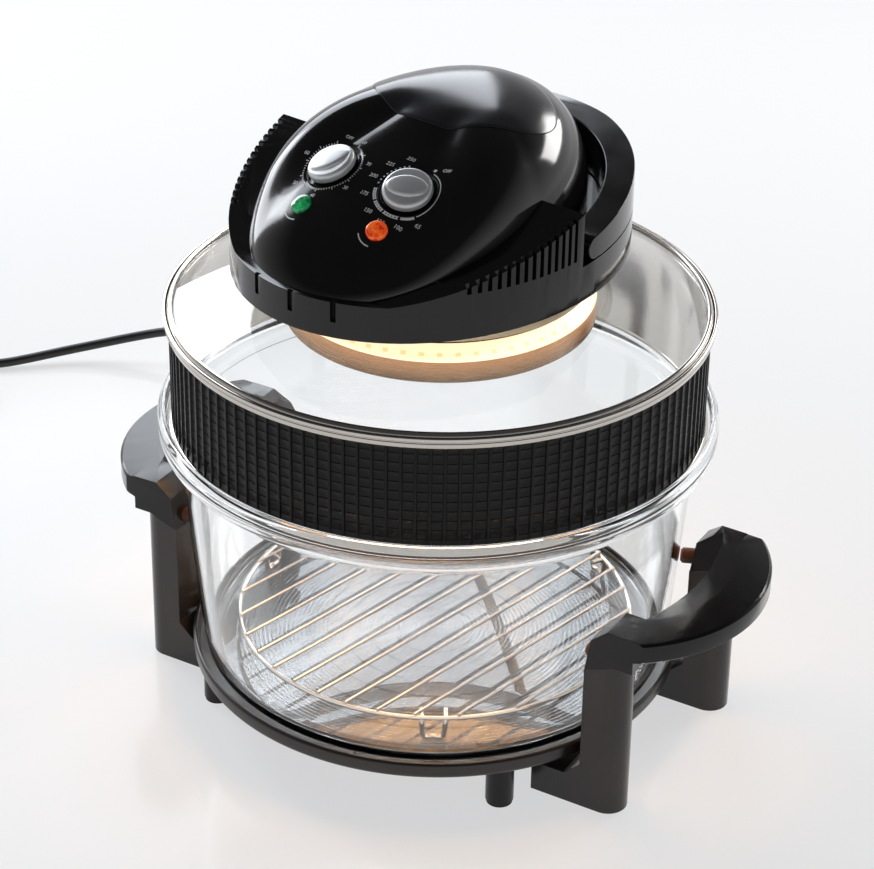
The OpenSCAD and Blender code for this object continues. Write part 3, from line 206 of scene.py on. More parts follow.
view_turn, view_tilt, view_roll = 29.873, 29.833, np.radians(0.997)
view_distance, look_height = 1.701, 0.1813
focal_pixels, picture_width, centre_x, centre_y, film_width = 2841, 874, -1.18, -13.16, 36
tilt = np.radians(view_tilt)
forward = np.cos(tilt) * heading(view_turn + 90) - [0, 0, np.sin(tilt)]
level = heading(view_turn)
upright = np.cross(level, forward)
lens_x = np.cos(view_roll) * level + np.sin(view_roll) * upright
lens_y = np.cos(view_roll) * upright - np.sin(view_roll) * level
stand_at = np.array([0, 0, look_height]) - view_distance * forward
camera = added("camera", bpy.data.cameras.new("camera"))
camera.matrix_world = Matrix([*np.column_stack([lens_x, lens_y, -forward, stand_at]).tolist(), [0, 0, 0, 1]])
camera.data.sensor_width = film_width
camera.data.lens = film_width * focal_pixels / picture_width
camera.data.shift_x, camera.data.shift_y = centre_x / picture_width, centre_y / picture_width
camera.data.clip_end = 30
bpy.context.scene.camera = camera
bpy.context.scene.view_settings.view_transform = "Standard"

floor_glow, floor_reach = 0.62, 6000
floor_finish = Finish("studio_floor", {"Base Color": (0.88, 0.885, 0.89), "Specular IOR Level": 0.35})
floor_finish.set({"Roughness": floor_finish.noise(1.3, 2.0) * 0.05 + 0.1})
bounced = floor_finish.node("LightPath", out="Is Diffuse Ray")
white_glow = floor_finish.node("Emission", {}, {"Color": (0.985, 0.99, 1.0), "Strength": 1.0})
floor_finish.surface(floor_finish.node(
    "MixShader", {}, {0: (1 - bounced) * floor_glow, 1: floor_finish.shader, 2: white_glow}))
floor_corners = floor_reach * np.array([[-1, -1, 0], [1, -1, 0], [1, 1, 0], [-1, 1, 0]])
floor_mesh = meshed("floor", floor_corners, [[0, 1, 2, 3]])
floor_mesh.materials.append(floor_finish.material)
added("floor", floor_mesh)

world = bpy.data.worlds.new("studio")
bpy.context.scene.world = world
world.use_nodes = True
sky = Shading(world.node_tree, "OutputWorld")
sky_height = sky.node("SeparateXYZ", {}, {0: sky.node("TexCoord", out="Generated")}, "Z")
sky_stops = [(height, (grey, grey, grey * 1.03)) for height, grey in ((0.0, 1.0), (0.3, 0.5), (0.62, 0.06))]
sky_ramp = sky.node("ValToRGB", {"stops": sky_stops}, {0: sky_height})
seen_clear = sky.node("LightPath", out="Is Camera Ray").maths(
    "MAXIMUM", sky.node("LightPath", out="Is Transmission Ray"))
sky_colour = sky.mix(seen_clear, sky_ramp, (1, 1, 1))
sky.surface(sky.node("Background", {}, {"Color": sky_colour, "Strength": 1.0}))

lamp("left_softbox", (-1.2, 0.94, 1.02), (0, 0, 0.3), (1.6, 0.7), 17, (0.88, 0.93, 1.0))
lamp("side_softbox", (-1.55, 0.42, 0.75), (0, 0, 0.3), (0.4, 0.8), 7, (0.93, 0.96, 1.0))
lamp("back_softbox", (0.5, 1.5, 0.85), (0, 0, 0.33), (0.8, 0.4), 13, (1.0, 0.99, 0.97))


# The mains lead: black rubber flex that leaves the back of the head through a ribbed strain relief,
# falls to the table, runs off to the left, and ends in a flat coil and a moulded three-pin plug.


def unit(v):
    return v / np.linalg.norm(v, axis=-1, keepdims=True)


def grid_faces(rows, columns, wrap_rows=False, wrap_columns=False):
    """Quads between the points of a grid kept row by row. A wrapped direction joins its end to its start."""
    r = np.arange(rows if wrap_rows else rows - 1)[:, None] * columns
    c = np.arange(columns if wrap_columns else columns - 1)[None, :]
    below, beside = (r + columns) % (rows * columns), (c + 1) % columns
    return np.stack([r + c, r + beside, below + beside, below + c], -1).reshape(-1, 4)


def tube(path, radius, sides=16, square=(0, 0, 1), ends=True):
    """Carries a circle along a path: path + radius (cos u side + sin u lift), where side and lift are square
    to the path. The ends close to a point in their own plane."""
    path = np.asarray(path, float)
    radius = np.broadcast_to(np.asarray(radius, float), len(path))
    along = unit(np.gradient(path, axis=0))
    if ends:
        path, along = (np.concatenate([rows[:1], rows, rows[-1:]]) for rows in (path, along))
        radius = np.concatenate([[0], radius, [0]])
    side = unit(np.cross(along, square))
    lift = np.cross(side, along)
    u = (np.arange(sides) / sides * TURN)[None, :, None]
    rings = path[:, None] + radius[:, None, None] * (np.cos(u) * side[:, None] + np.sin(u) * lift[:, None])
    return rings, grid_faces(len(path), sides, wrap_columns=True)


def placed(name, mesh, body, finish, stands_for=(), sharp=32):
    """A mesh with its finish, riding on a body. Edges sharper than sharp degrees stay crisp."""
    thing = added(name, mesh)
    mesh.materials.append(finish.material)
    mesh.polygons.foreach_set("use_smooth", np.ones(len(mesh.polygons), bool))
    mesh.set_sharp_from_angle(angle=np.radians(sharp))
    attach(thing, body)
    if stands_for:
        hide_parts(*stands_for)
    return thing


def piece(name, points, faces, body, slot, finish, stands_for=(), sharp=32):
    return placed(name, meshed(name, points, faces), body, finish, stands_for, sharp)


def through(points, steps):
    """A smooth curve through the points: on each span a cubic whose ends share their neighbours' slopes."""
    p = np.asarray(points, float)
    p = np.concatenate([[2 * p[0] - p[1]], p, [2 * p[-1] - p[-2]]])
    a, b, c, d = (p[i:len(p) - 3 + i, None] for i in range(4))
    f = (np.arange(steps) / steps)[None, :, None]
    curve = 0.5 * (2 * b + (c - a) * f + (2 * a - 5 * b + 4 * c - d) * f**2 + (3 * b - a - 3 * c + d) * f**3)
    return np.concatenate([curve.reshape(-1, 3), p[-2:-1]])


def smooth_step(v):
    v = np.clip(v, 0, 1)
    return v * v * (3 - 2 * v)


cord_d, cord_height = 6.8, 3.7
relief_end, relief_way = np.array([7.18959, 152.097, 307.387]), heading(83)
route = [
    [8.5, 163, 307.5], [8, 173, 303], [3, 183, 293], [-8, 193, 277], [-26, 203, 254], [-52, 214, 223],
    [-86, 226, 188], [-125, 238, 152], [-168, 249, 118], [-212, 257, 90], [-258, 262, 66], [-305, 262, 45],
    [-348, 256, 30], [-387, 248, 20], [-434, 214, 9.5], [-472, 174.4, 4.2], [-490, 163.7, cord_height],
    [-514, 149.9, cord_height]]
coil_x, coil_y, coil_r, coil_pitch, coil_start, loop_steps = -499, 110, 42, 7.4, 120, 48
coil_turn = np.arange(2 * loop_steps + 1) / loop_steps
coil_reach = coil_r - coil_pitch * (1 - np.abs(coil_turn - 1))
coil_rise = cord_height + coil_pitch * smooth_step((coil_turn - 1) / 0.5 + 0.5)
coil = polar(coil_reach, np.radians(coil_start) + TURN * coil_turn, coil_rise) + [coil_x, coil_y, 0]
coil_tail = coil[-1] + np.array([[10], [20], [30]]) * heading(coil_start + 90)
lead_path = np.concatenate([[relief_end, relief_end + 3 * relief_way], through(route, 6), coil, coil_tail])

flex = Finish("black_flex", {"Base Color": (0.012, 0.012, 0.013), "Roughness": 0.42})
scuff = flex.noise(900, 4.0)
flex.set({"Base Color": flex.mix(scuff, (0.008, 0.008, 0.009), (0.03, 0.03, 0.032)),
          "Roughness": scuff * 0.25 + 0.3})
flex.bump(flex.noise(2600, 2.0), 0.00008)
lead = piece("mains_lead", *tube(lead_path, cord_d / 2, 20), "lid", "lead_rubber", flex,
             ["cord_run", "cord_coil"], 60)


def dress(finish, *names):
    """Gives the named nodes, whose shapes stay as they are, their finish."""
    for name in names:
        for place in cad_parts[name].material_slots:
            place.material = finish.material


def softened(node, name, width, finish, body, segments=3):
    """A copy of a CAD node's mesh: doubles merged, flat faces joined, and sharp edges rounded to width."""
    shape = bmesh.new()
    shape.from_mesh(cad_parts[node].data)
    bmesh.ops.remove_doubles(shape, verts=shape.verts, dist=4e-6)
    bmesh.ops.dissolve_limit(shape, angle_limit=np.radians(0.6), verts=shape.verts, edges=shape.edges)
    mesh = bpy.data.meshes.new(name)
    shape.to_mesh(mesh)
    shape.free()
    thing = placed(name, mesh, body, finish, [node], 40)
    bevel = thing.modifiers.new("soft_edges", "BEVEL")
    bevel.width, bevel.segments, bevel.limit_method = width / 1000, segments, "ANGLE"
    bevel.angle_limit, bevel.use_clamp_overlap, bevel.harden_normals = np.radians(32), True, True
    return thing


relief_finish = Finish("relief_rubber", {"Base Color": (0.014, 0.014, 0.015), "Roughness": 0.38})
relief_finish.set({"Roughness": relief_finish.noise(700) * 0.2 + 0.3})
relief_length, relief_root_r, relief_tip_r, groove_depth, groove_count = 24.5, 6.0, 4.3, 0.7, 6
along_relief = np.linspace(0, 1, 121)
grooved = (np.sin(along_relief * TURN * groove_count) > 0.2) * (along_relief > 0.08) * (along_relief < 0.97)
relief_reach = relief_root_r + (relief_tip_r - relief_root_r) * along_relief - groove_depth * grooved
relief_path = relief_end + (along_relief[:, None] - 1) * relief_length * relief_way
piece("strain_relief_boot", *tube(relief_path, relief_reach, 32), "lid", "lead_rubber", relief_finish,
      ["strain_relief"])

plug_finish = Finish("plug_moulding", {"Base Color": (0.016, 0.016, 0.017), "Roughness": 0.3})
plug_grain = plug_finish.noise(1500)
plug_finish.set({"Base Color": plug_finish.mix(plug_grain, (0.011, 0.011, 0.012), (0.028, 0.028, 0.03)),
                 "Roughness": plug_grain * 0.2 + 0.24})
plug_finish.bump(plug_grain, 0.00005)
plug = softened("plug_body", "plug_moulding", 2.2, plug_finish, "lid", 4)
brass = Finish("pin_brass", {"Base Color": (0.83, 0.66, 0.34), "Metallic": 1.0, "Roughness": 0.24})
brass.set({"Roughness": brass.noise(1200, stretch=(1, 1, 8)) * 0.25 + 0.14})
pins = softened("plug_pins", "plug_pins_rounded", 0.5, brass, "lid", 2)


# The base tray: one black moulding, a flat disc with low concentric ridges and a raised rim that catches the
# light. Four small feet with rubber discs carry it.


def rounded(corners, closed=True, steps=5):
    """A polygon of corners (a, b, radius), each turned to the curve (1-s)^2 A + 2s(1-s) P + s^2 B that leaves
    both sides smoothly."""
    c = np.asarray(corners, float)
    p, radius = c[:, :2], c[:, 2:]
    back, ahead = np.roll(p, 1, 0) - p, np.roll(p, -1, 0) - p
    shorter = np.minimum(np.linalg.norm(back, axis=1), np.linalg.norm(ahead, axis=1))[:, None]
    cut = np.minimum(radius, 0.45 * shorter)
    if not closed:
        cut[[0, -1]] = 0
    a, b = p + unit(back) * cut, p + unit(ahead) * cut
    s = np.linspace(0, 1, steps + 1)[None, :, None]
    return ((1 - s) ** 2 * a[:, None] + 2 * s * (1 - s) * p[:, None] + s**2 * b[:, None]).reshape(-1, 2)


def turned(profile, steps=256, closed=True):
    """Turns a profile of (radius, height) about the upright axis. Open profiles end on the axis."""
    r, h = np.asarray(profile, float).T
    points = polar(r, (np.arange(steps) / steps * TURN)[:, None], h)
    return points, grid_faces(steps, len(r), wrap_rows=True, wrap_columns=closed)


def shade(colour, factor):
    """A colour made darker or lighter by a factor."""
    return tuple(c * factor for c in colour)


def moulded(name, colour, roughness, grain=1400, depth=0.00004, gloss=0.3):
    """Moulded plastic or rubber: colour and gloss drift a little, over a fine grain."""
    finish = Finish(name, {"Base Color": colour, "Roughness": roughness, "Specular IOR Level": gloss})
    drift, fine = finish.noise(35, 2.0), finish.noise(grain, 3.0)
    finish.set({"Base Color": finish.mix(drift, shade(colour, 0.75), shade(colour, 1.3)),
                "Roughness": drift * 0.1 + fine * 0.06 + (roughness - 0.08)})
    return finish.bump(fine, depth)


tray_black = moulded("tray_black", (0.012, 0.009, 0.0085), 0.3, 300, 0.0, gloss=0.6)
tray_under, tray_top, tray_r, tray_rim = 28.0, 30.2, 150.0, 38.0
tray_profile = rounded([
    [0, tray_under, 0], [142, tray_under, 1], [146, tray_under, 1], [148.6, tray_under, 2],
    [tray_r, 30, 1.5], [tray_r, 36.6, 1.5], [148.6, tray_rim, 1], [147.2, tray_rim, 0.8],
    [146.2, 33, 1.5], [145.6, tray_top, 0.6], [0, tray_top, 0]], closed=False, steps=4)
ridge_h = 0.8
ridge = np.array([[0, 0], [0.2, ridge_h], [1.0, ridge_h], [1.2, 0]])
ridges = np.concatenate([ridge + [ridge_r, tray_top] for ridge_r in range(24, 105, 16)])
tray_line = np.concatenate([tray_profile[:-6], ridges[::-1], [[0, tray_top]]])
piece("tray_moulding", *turned(tray_line, 200, closed=False), "stand", "black_plastic", tray_black,
      ["base_tray"])
dress(moulded("foot_plastic", (0.013, 0.012, 0.012), 0.3), "tray_feet")
dress(moulded("foot_rubber", (0.03, 0.03, 0.03), 0.7, 900, 0.0001), "foot_pads")
dress(moulded("pad_rubber", (0.04, 0.04, 0.04), 0.6, 900, 0.0001), "bowl_pads")


# The four legs: black mouldings that stand just outside the tray, each with a toe under it and one screw.
# They are a touch browner than the head, with soft corners that show as thin bright lines.

leg_black = moulded("leg_black", (0.03, 0.026, 0.024), 0.2, gloss=0.45)
for side in ("front_left", "front_right", "rear_left", "rear_right"):
    softened(f"{side}_leg", f"{side}_leg_moulding", 1.3, leg_black, "stand")


def machined(name, colour, roughness, lines=(1, 1, 1), scale=600, spread=0.16):
    """Bare metal: fine lines or grain in one direction, seen in its gloss and a little in its colour."""
    finish = Finish(name, {"Base Color": colour, "Metallic": 1.0, "Roughness": roughness})
    grain = finish.noise(scale, 4.0, lines)
    finish.set({"Base Color": finish.mix(grain, shade(colour, 0.86), colour),
                "Roughness": grain * spread + (roughness - spread / 2)})
    return finish.bump(grain, 0.00001)


dress(machined("screw_steel", (0.62, 0.62, 0.64), 0.3), "stand_screws", "head_screws")


# The two grips: bowed black bars over each pair of legs, glossy, with a flat top, a rounded band round the
# outside and ends that close the legs. Brown silicone bumpers in the ends keep the bowl in its place.

grip_black = moulded("grip_black", (0.006, 0.0055, 0.006), 0.13, gloss=0.35)
for side in ("left", "right"):
    softened(f"{side}_grip", f"{side}_grip_moulding", 2.2, grip_black, "stand", 4)
dress(moulded("bumper_silicone", (0.09, 0.035, 0.016), 0.42, 700, 0.00006), "bowl_bumpers")


# The bowl: pressed borosilicate glass, flat floor, walls that open slightly, and a thick rolled rim
# with a step inside it, where the extender ring sits.


def clear(name, tint, rim_tint, waviness, scale):
    """Clear glass. Light on its way to other surfaces goes straight through, so nothing inside turns dark."""
    finish = Finish(name, {"Base Color": tint, "Roughness": 0.0, "IOR": 1.48, "Transmission Weight": 1.0})
    wave, haze = finish.noise(scale, 2.0), finish.noise(scale * 4, 3.0)
    finish.set({"Base Color": finish.mix(haze, tint, rim_tint), "Roughness": haze * 0.004})
    finish.bump(wave, waviness)
    passing = finish.node("LightPath", out="Is Shadow Ray").maths(
        "MAXIMUM", finish.node("LightPath", out="Is Diffuse Ray"))
    straight = finish.node("BsdfTransparent", {}, {"Color": shade(tint, 0.97)})
    finish.surface(finish.node("MixShader", {}, {0: passing, 1: finish.shader, 2: straight}))
    return finish


bowl_z, bowl_h, wall_h, foot_bend = 32.8, 164.0, 143.0, 6.0
bowl_foot_r, bowl_flare, rim_r, seat_r = 142.4, 12.1, 167.1, 161.7
bowl_t, bowl_floor_t, press_pitch, press_depth = 4.4, 5.0, 2.7, 0.12
wall_up = np.linspace(foot_bend, wall_h, 30)
wall_out = bowl_foot_r + bowl_flare * ((wall_up - foot_bend) / (wall_h - foot_bend)) ** 0.8
bend = np.linspace(0, np.pi / 2, 8)
press_r = np.arange(0, 126, 0.45)
pressed = np.stack([press_r, press_depth * (0.5 - 0.5 * np.cos(press_r / press_pitch * TURN))], -1)
outer_bend = np.stack([bowl_foot_r - foot_bend * (1 - np.sin(bend)), foot_bend * (1 - np.cos(bend))], -1)
bowl_rim = rounded([
    [154.5, wall_h, 0], [158.6, 146.6, 3], [165.1, 147.6, 3], [rim_r, 152, 4], [rim_r, 161, 3],
    [164.6, bowl_h, 2], [162.2, 163.4, 1.2], [seat_r, 160, 1], [seat_r, 154.6, 1], [155, 154.6, 1.5],
    [150.1, 150, 4]], closed=False, steps=5)
inner_bend = np.stack([bowl_foot_r - bowl_t - foot_bend * (1 - np.cos(bend)),
                       bowl_floor_t + foot_bend * (1 - np.sin(bend))], -1)
bowl_line = np.concatenate([
    pressed, outer_bend, np.stack([wall_out, wall_up], -1)[1:], bowl_rim,
    np.stack([wall_out - bowl_t, wall_up + 1], -1)[::-1], inner_bend[1:], [[0, bowl_floor_t]]]) + [0, bowl_z]
bowl_glass = clear("bowl_glass", (0.985, 0.995, 1.0), (0.97, 0.99, 0.995), 0.00003, 9)
piece("bowl_pressing", *turned(bowl_line, closed=False), "bowl", "clear_glass", bowl_glass,
      ["glass_bowl"], 60)


# The rack: a hoop of bright wire, straight wires laid across it and spot welded, and three bent feet
# that stand on the bowl's floor.


def joined(parts):
    """Several pairs of points and faces as one pair."""
    clouds = [np.reshape(points, (-1, 3)) for points, _ in parts]
    starts = np.cumsum([0, *map(len, clouds)])
    return np.concatenate(clouds), np.concatenate([faces + start for (_, faces), start in zip(parts, starts)])


chrome = machined("chromed_wire", (0.72, 0.66, 0.6), 0.2, scale=1500)
rack_r, rack_foot_h, rack_turn, wire_pitch, wire_count = 121.0, 14.3, 77, 18.5, 13
hoop_wire_r, cross_wire_r, foot_wire_r = 1.45, 1.0, 1.6
rack_z = bowl_z + bowl_floor_t + rack_foot_h
rack_parts = [tube(polar(rack_r, np.linspace(0, TURN, 181), rack_z), hoop_wire_r, 12, ends=False)]
wire_way, wire_across = heading(rack_turn), heading(rack_turn + 90)
for offset in (np.arange(wire_count) - wire_count // 2) * wire_pitch:
    half = np.sqrt(rack_r**2 - offset**2)
    run = np.linspace(-half, half, 24)[:, None] * wire_way + offset * wire_across + [0, 0, rack_z + 2.1]
    rack_parts.append(tube(run, cross_wire_r, 10))
half_foot = [(112, 7, 0), (119.4, 7, -0.4), (121.4, 6.8, -3), (121.4, 5.4, -12.3)]
foot_bends = [(r, -t, z) for r, t, z in half_foot] + [(121.4, 0, -12.4)] + half_foot[::-1]
for foot_turn in (-60, 60, 180):
    out, across = heading(foot_turn), heading(foot_turn + 90)
    foot = through([r * out + t * across + [0, 0, rack_z + z] for r, t, z in foot_bends], 8)
    rack_parts.append(tube(foot, foot_wire_r, 10, square=out))
piece("rack_wires", *joined(rack_parts), "rack", "chromed_wire", chrome, ["cooking_rack"], 60)


# The extender ring: rolled and polished steel, a bead at its foot that sits in the bowl's rim
# and a wider lip at its top that takes the lid.


def polished(name, colour, roughness):
    """Polished sheet steel: the buffing wheel's lines run round the axis, so the gloss varies with height."""
    finish = Finish(name, {"Base Color": colour, "Metallic": 1.0, "Roughness": roughness})
    lines = finish.noise(30, 5.0, (1, 1, 140))
    finish.set({"Base Color": finish.mix(lines, shade(colour, 0.9), colour),
                "Roughness": lines * 0.14 + (roughness - 0.07)})
    return finish.bump(lines, 0.000012)


steel = polished("polished_steel", (0.62, 0.585, 0.54), 0.1)
ring_z, ring_h, ring_in_r, ring_out_r, lip_r = 187.7, 75.4, 156.0, 157.2, 161.6
ring_line = rounded([
    [ring_in_r, 3, 0.2], [155.3, 2.4, 1], [155.1, 0.9, 1], [156.6, 0, 1], [159.2, 0, 1], [160.8, 1.2, 1.2],
    [160.8, 2.8, 1.2], [159.2, 4, 1], [157.6, 3.9, 0.4], [ring_out_r, 4.6, 0.4], [ring_out_r, 67.8, 1.2],
    [160.2, 67.8, 1.6], [lip_r, 69.4, 1.6], [lip_r, 71.4, 1], [160.95, 72.2, 0.5], [162.2, 73.2, 1],
    [162.2, 75.0, 1], [161.4, ring_h, 0.5], [160.4, ring_h, 0.4], [160.4, 69, 0.8], [ring_in_r, 69, 1]])
ring_points = turned(ring_line + [0, ring_z], 300)
piece("ring_rolled", *ring_points, "ring", "polished_steel", steel, ["extender_ring"], 40)


# The strip round the ring: black rubber moulded flat and wrapped on, with upright ribs,
# shallow cross lines between them, and a plain edge above and below.

band_in, band_low, band_high, rib_count, row_count = 157.25, ring_z + 4.4, 255.1, 123, 10
web_t, rib_t, line_t, border_t, edge_h = 0.25, 1.35, 0.45, 0.9, 1.5
across_rib = np.array([-0.5, -0.15, -0.115, -0.09, -0.04, 0.04, 0.09, 0.115, 0.15])
along_row = np.array([0.0, 0.42, 0.455, 0.475, 0.525, 0.545, 0.58])
band_tall = band_high - band_low
grid_h = band_tall - 2 * edge_h
band_u = (np.arange(rib_count)[:, None] + across_rib).reshape(-1, 1)
grid_v = edge_h + (np.arange(row_count)[:, None] + along_row).ravel()[1:] / row_count * grid_h
band_v = np.concatenate([[0, 0.35, 1.0], grid_v, band_tall - np.array([1.45, 1.0, 0.35, 0])])[None, :]
rib = smooth_step((0.125 - np.abs((band_u + 0.5) % 1 - 0.5)) / 0.04)
line = smooth_step((0.06 - np.abs((band_v - edge_h) / grid_h * row_count % 1 - 0.5)) / 0.04)
border = np.clip(smooth_step((1.3 - band_v) / 0.4) + smooth_step((band_v - band_tall + 1.3) / 0.4), 0, 1)
band_a = band_u / rib_count * TURN
band_r = band_in + np.maximum(np.maximum(web_t + rib_t * rib, web_t + line_t * line), border_t * border)
band_outer = polar(band_r, band_a, band_low + band_v)
band_inner = polar(band_in, band_a, np.array([[band_high, band_low]]))
band_points = np.concatenate([band_outer, band_inner], axis=1)
band_rubber = moulded("band_rubber", (0.006, 0.005, 0.0047), 0.32, 1100, 0.00003, gloss=0.2)
piece("band_strip", band_points, grid_faces(*band_points.shape[:2], True, True), "ring", "band_rubber",
      band_rubber, ["ring_band"], 50)


# The lid: a shallow dome of tempered glass with a round hole for the heater, clamped in a rolled steel rim
# on a pale gasket. A red seal closes the gap between the glass and the heater's can.

lid_z, lid_t, dome_r, hub_r = 257.0, 3.4, 455.0, 86.0
glass_edge_r, glass_edge_z, rim_out_r, rim_in_r, rim_h, rim_t = 158.2, 258.9, 159.8, 156.2, 7.6, 1.1
glass_r = np.linspace(hub_r, glass_edge_r, 24)
glass_up = glass_edge_z + np.sqrt(dome_r**2 - glass_r**2) - np.sqrt(dome_r**2 - glass_edge_r**2)
glass_under = np.stack([glass_r, glass_up], -1)
lid_line = np.concatenate([glass_under, glass_under[::-1] + [0, lid_t]])
lid_glass = clear("lid_glass", (0.99, 0.995, 0.995), (0.975, 0.99, 0.99), 0.00002, 9)
piece("lid_dome", *turned(lid_line), "lid", "clear_glass", lid_glass, ["lid_glass"], 40)
rim_line = rounded([
    [rim_in_r, 0, 0.4], [158.8, 0, 1.2], [rim_out_r, 1.2, 1.2], [rim_out_r, 5.6, 2.2], [158.2, rim_h, 2],
    [156.6, rim_h, 0.5], [rim_in_r, rim_h - 0.5, 0.4], [rim_in_r, rim_h - rim_t, 0.3],
    [rim_out_r - rim_t, rim_h - rim_t, 0.8], [rim_out_r - rim_t, rim_t, 0.8], [rim_in_r, rim_t, 0.3]])
piece("lid_rim_rolled", *turned(rim_line + [0, lid_z], 300), "lid", "polished_steel", steel, ["lid_rim"], 40)
dress(moulded("gasket", (0.55, 0.55, 0.53), 0.5, 600, 0.00008), "lid_gasket")
dress(moulded("seal_silicone", (0.42, 0.12, 0.06), 0.4, 600, 0.00008), "hub_seal")


# The heater: a round steel can that hangs through the lid, a ring-shaped quartz lamp, a reflector above it
# and a slotted guard below.
# The row of slots at the can's shoulder, where the lamp's light comes out, is painted glow on the can; the
# guard's orange glow is painted light too.

can_top, can_foot, can_r, can_flange_r, neck_in_r = 298.387, 256.9, 91.0, 86.0, 73.0
can_line = rounded([
    [neck_in_r, 297.6, 0], [82.2, 297.6, 0.4], [82.2, 277.5, 0.6], [90.2, 269.1, 1], [90.2, 257.7, 0.4],
    [can_flange_r, 257.7, 0.2], [can_flange_r, can_foot, 0.2], [can_r, can_foot, 0.6], [can_r, 269.9, 1.4],
    [84, 278.3, 1], [83, 279.4, 0.5], [83, can_top, 0.2], [neck_in_r, can_top, 0]])
# Painted glow: the can is no lamp, yet its shoulder, the row of slots in it and the wall just below glow warm
# with the lamp's light, painted in as emission.
can_steel = Finish("can_steel", {"Base Color": (0.6, 0.57, 0.53), "Metallic": 1.0, "Emission Strength": 1.35})
can_lines = can_steel.noise(30, 5.0, (1, 1, 120))
around = can_steel.axis("Y").maths("ARCTAN2", can_steel.axis("X"))
slot_count = 54
slots = (around * (slot_count / TURN)).maths("PINGPONG", 0.5) < 0.15
height = can_steel.axis("Z")
shoulder = (height > 0.2696) * (height < 0.2786)
slot_row = (height > 0.2722) * (height < 0.274)
painted_spill = ((height - 0.2572) / 0.0125).maths("MULTIPLY", 1.0, clamp=True) * (height < 0.2697) * 0.3
painted_shoulder_glow = can_steel.mix(slot_row * slots, (1.0, 0.8, 0.5), (1.0, 0.6, 0.26))
painted_wall_glow = can_steel.mix(painted_spill, (0.0, 0.0, 0.0), (1.0, 0.4, 0.12))
can_steel.set({
    "Base Color": can_steel.mix(can_lines, (0.42, 0.34, 0.27), (0.6, 0.5, 0.41)),
    "Roughness": can_lines * 0.16 + 0.18,
    "Emission Color": can_steel.mix(shoulder, painted_wall_glow, painted_shoulder_glow)}).bump(can_lines, 0.00002)
piece("can_pressing", *turned(can_line), "lid", "can_steel", can_steel, ["heater_can"], 40)

lamp_r, tube_r, lamp_z, lamp_gap = 66.0, 4.5, 271.187, 22
lamp_a = np.radians(np.linspace(90 + lamp_gap / 2, 450 - lamp_gap / 2, 161))
quartz = Finish("glowing_quartz", {
    "Base Color": (1.0, 0.9, 0.75), "Roughness": 0.1, "Emission Strength": 22.0})
coil_wave = quartz.noise(260, 2.0)
quartz.set({"Emission Color": quartz.mix(coil_wave, (1.0, 0.46, 0.13), (1.0, 0.7, 0.38))})
lamp_ring = polar(lamp_r, lamp_a, lamp_z)
piece("lamp_tube", *tube(lamp_ring, tube_r), "lid", "quartz", quartz, ["halogen_tube"], 60)
dress(moulded("ceramic", (0.72, 0.68, 0.6), 0.55, 900, 0.00008), "lamp_holders")
dress(polished("reflector_steel", (0.86, 0.85, 0.83), 0.14), "reflector_plate")
guard = machined("guard_steel", (0.66, 0.62, 0.56), 0.3)
guard_x, guard_y = guard.axis("X"), guard.axis("Y")
from_axis = (guard_x * guard_x + guard_y * guard_y) ** 0.5
# Painted glow: the guard is no lamp, yet it glows orange all over and brightest in a ring under the lamp, as
# painted lamp light.
painted_lamp_glow = (1 - abs(from_axis - lamp_r / 1000) / 0.022).maths("MAXIMUM", 0.0)
guard.set({"Emission Color": guard.mix(painted_lamp_glow, (0.42, 0.17, 0.05), (1.0, 0.56, 0.22)),
           "Emission Strength": 10.0})
dress(guard, "fan_guard")
dress(machined("copper_probe", (0.78, 0.42, 0.26), 0.3), "thermostat_probe")


# The neck: a dark brown funnel between the lid's hub and the oval head, moulded in one piece
# from heat-proof plastic.

neck_brown = moulded("neck_brown", (0.03, 0.014, 0.009), 0.3, 900, 0.00006)
softened("neck_ring", "neck_funnel", 0.6, neck_brown, "lid", 2)


# The head's lower shell: a black gloss moulding, oval, with three notches in its front edge
# and a ribbed shoulder on each side. A dull base closes it from below.

gloss_black = moulded("gloss_black", (0.0065, 0.0055, 0.0057), 0.1, 1800, 0.000004, gloss=0.42)
softened("head_shell", "shell_moulding", 0.7, gloss_black, "lid", 3)
dress(moulded("base_black", (0.02, 0.017, 0.016), 0.4, 900, 0.00006), "head_base")


# The hood: one thin black gloss moulding that swells from an oval outline to a crown behind the dials.
# Its height over the edge is (1 - s^p)^(1/q), where s runs from the crown to the edge, and p and q change
# from front to back.

head_turn, head_shift, head_z, head_b = np.radians(-7), (4.4, 2.4, 0), can_top, 128.5
hood_a, hood_b, hood_shift, hood_t = 83.0, 115.5, 11.0, 2.2
crown_y, crown_h, nose_h, deck_h, deck_slope = 33.0, 90.0, 16.0, 21.5, np.tan(np.radians(17))
crown_full, side_full = (1.55, 3.0, 2.6), (1.4, 2.5, 2.8)
dials, lamps = [(-26.5, -58.5), (26.5, -58.5)], [(-26.5, -85.8), (26.5, -85.8)]
dish_r, dish_depth, dish_wall = 17.3, 2.0, 1.8


def on_head(points):
    """From the head's own frame to the object's: a turn about the axis, a small shift and a rise."""
    x, y, z = np.moveaxis(np.asarray(points, float) - head_shift, -1, 0)
    c, s = np.cos(head_turn), np.sin(head_turn)
    return np.stack([x * c - y * s, x * s + y * c, z + head_z], -1)


def along_hood(y, front, middle, back):
    """A value at the hood's front, its flanks and its back, eased in between."""
    value = front + (middle - front) * smooth_step((y + 105) / 90)
    return value + (back - value) * smooth_step((y + 15) / 70)


def hood_rise(s, y, inset=0.0):
    """Height of the hood at share s of the way from its crown to the outline point whose distance is y."""
    deck = nose_h + deck_slope * (np.maximum(y, -head_b) + head_b)
    edge = deck + (deck_h - deck) * smooth_step((y + 70) / 65) - inset
    power = 2 + (along_hood(y, *crown_full) - 2) * smooth_step(s / 0.45)
    swell = (1 - np.clip(s, 0, 1) ** power) ** (1 / along_hood(y, *side_full))
    return edge + (crown_h - inset - edge) * swell


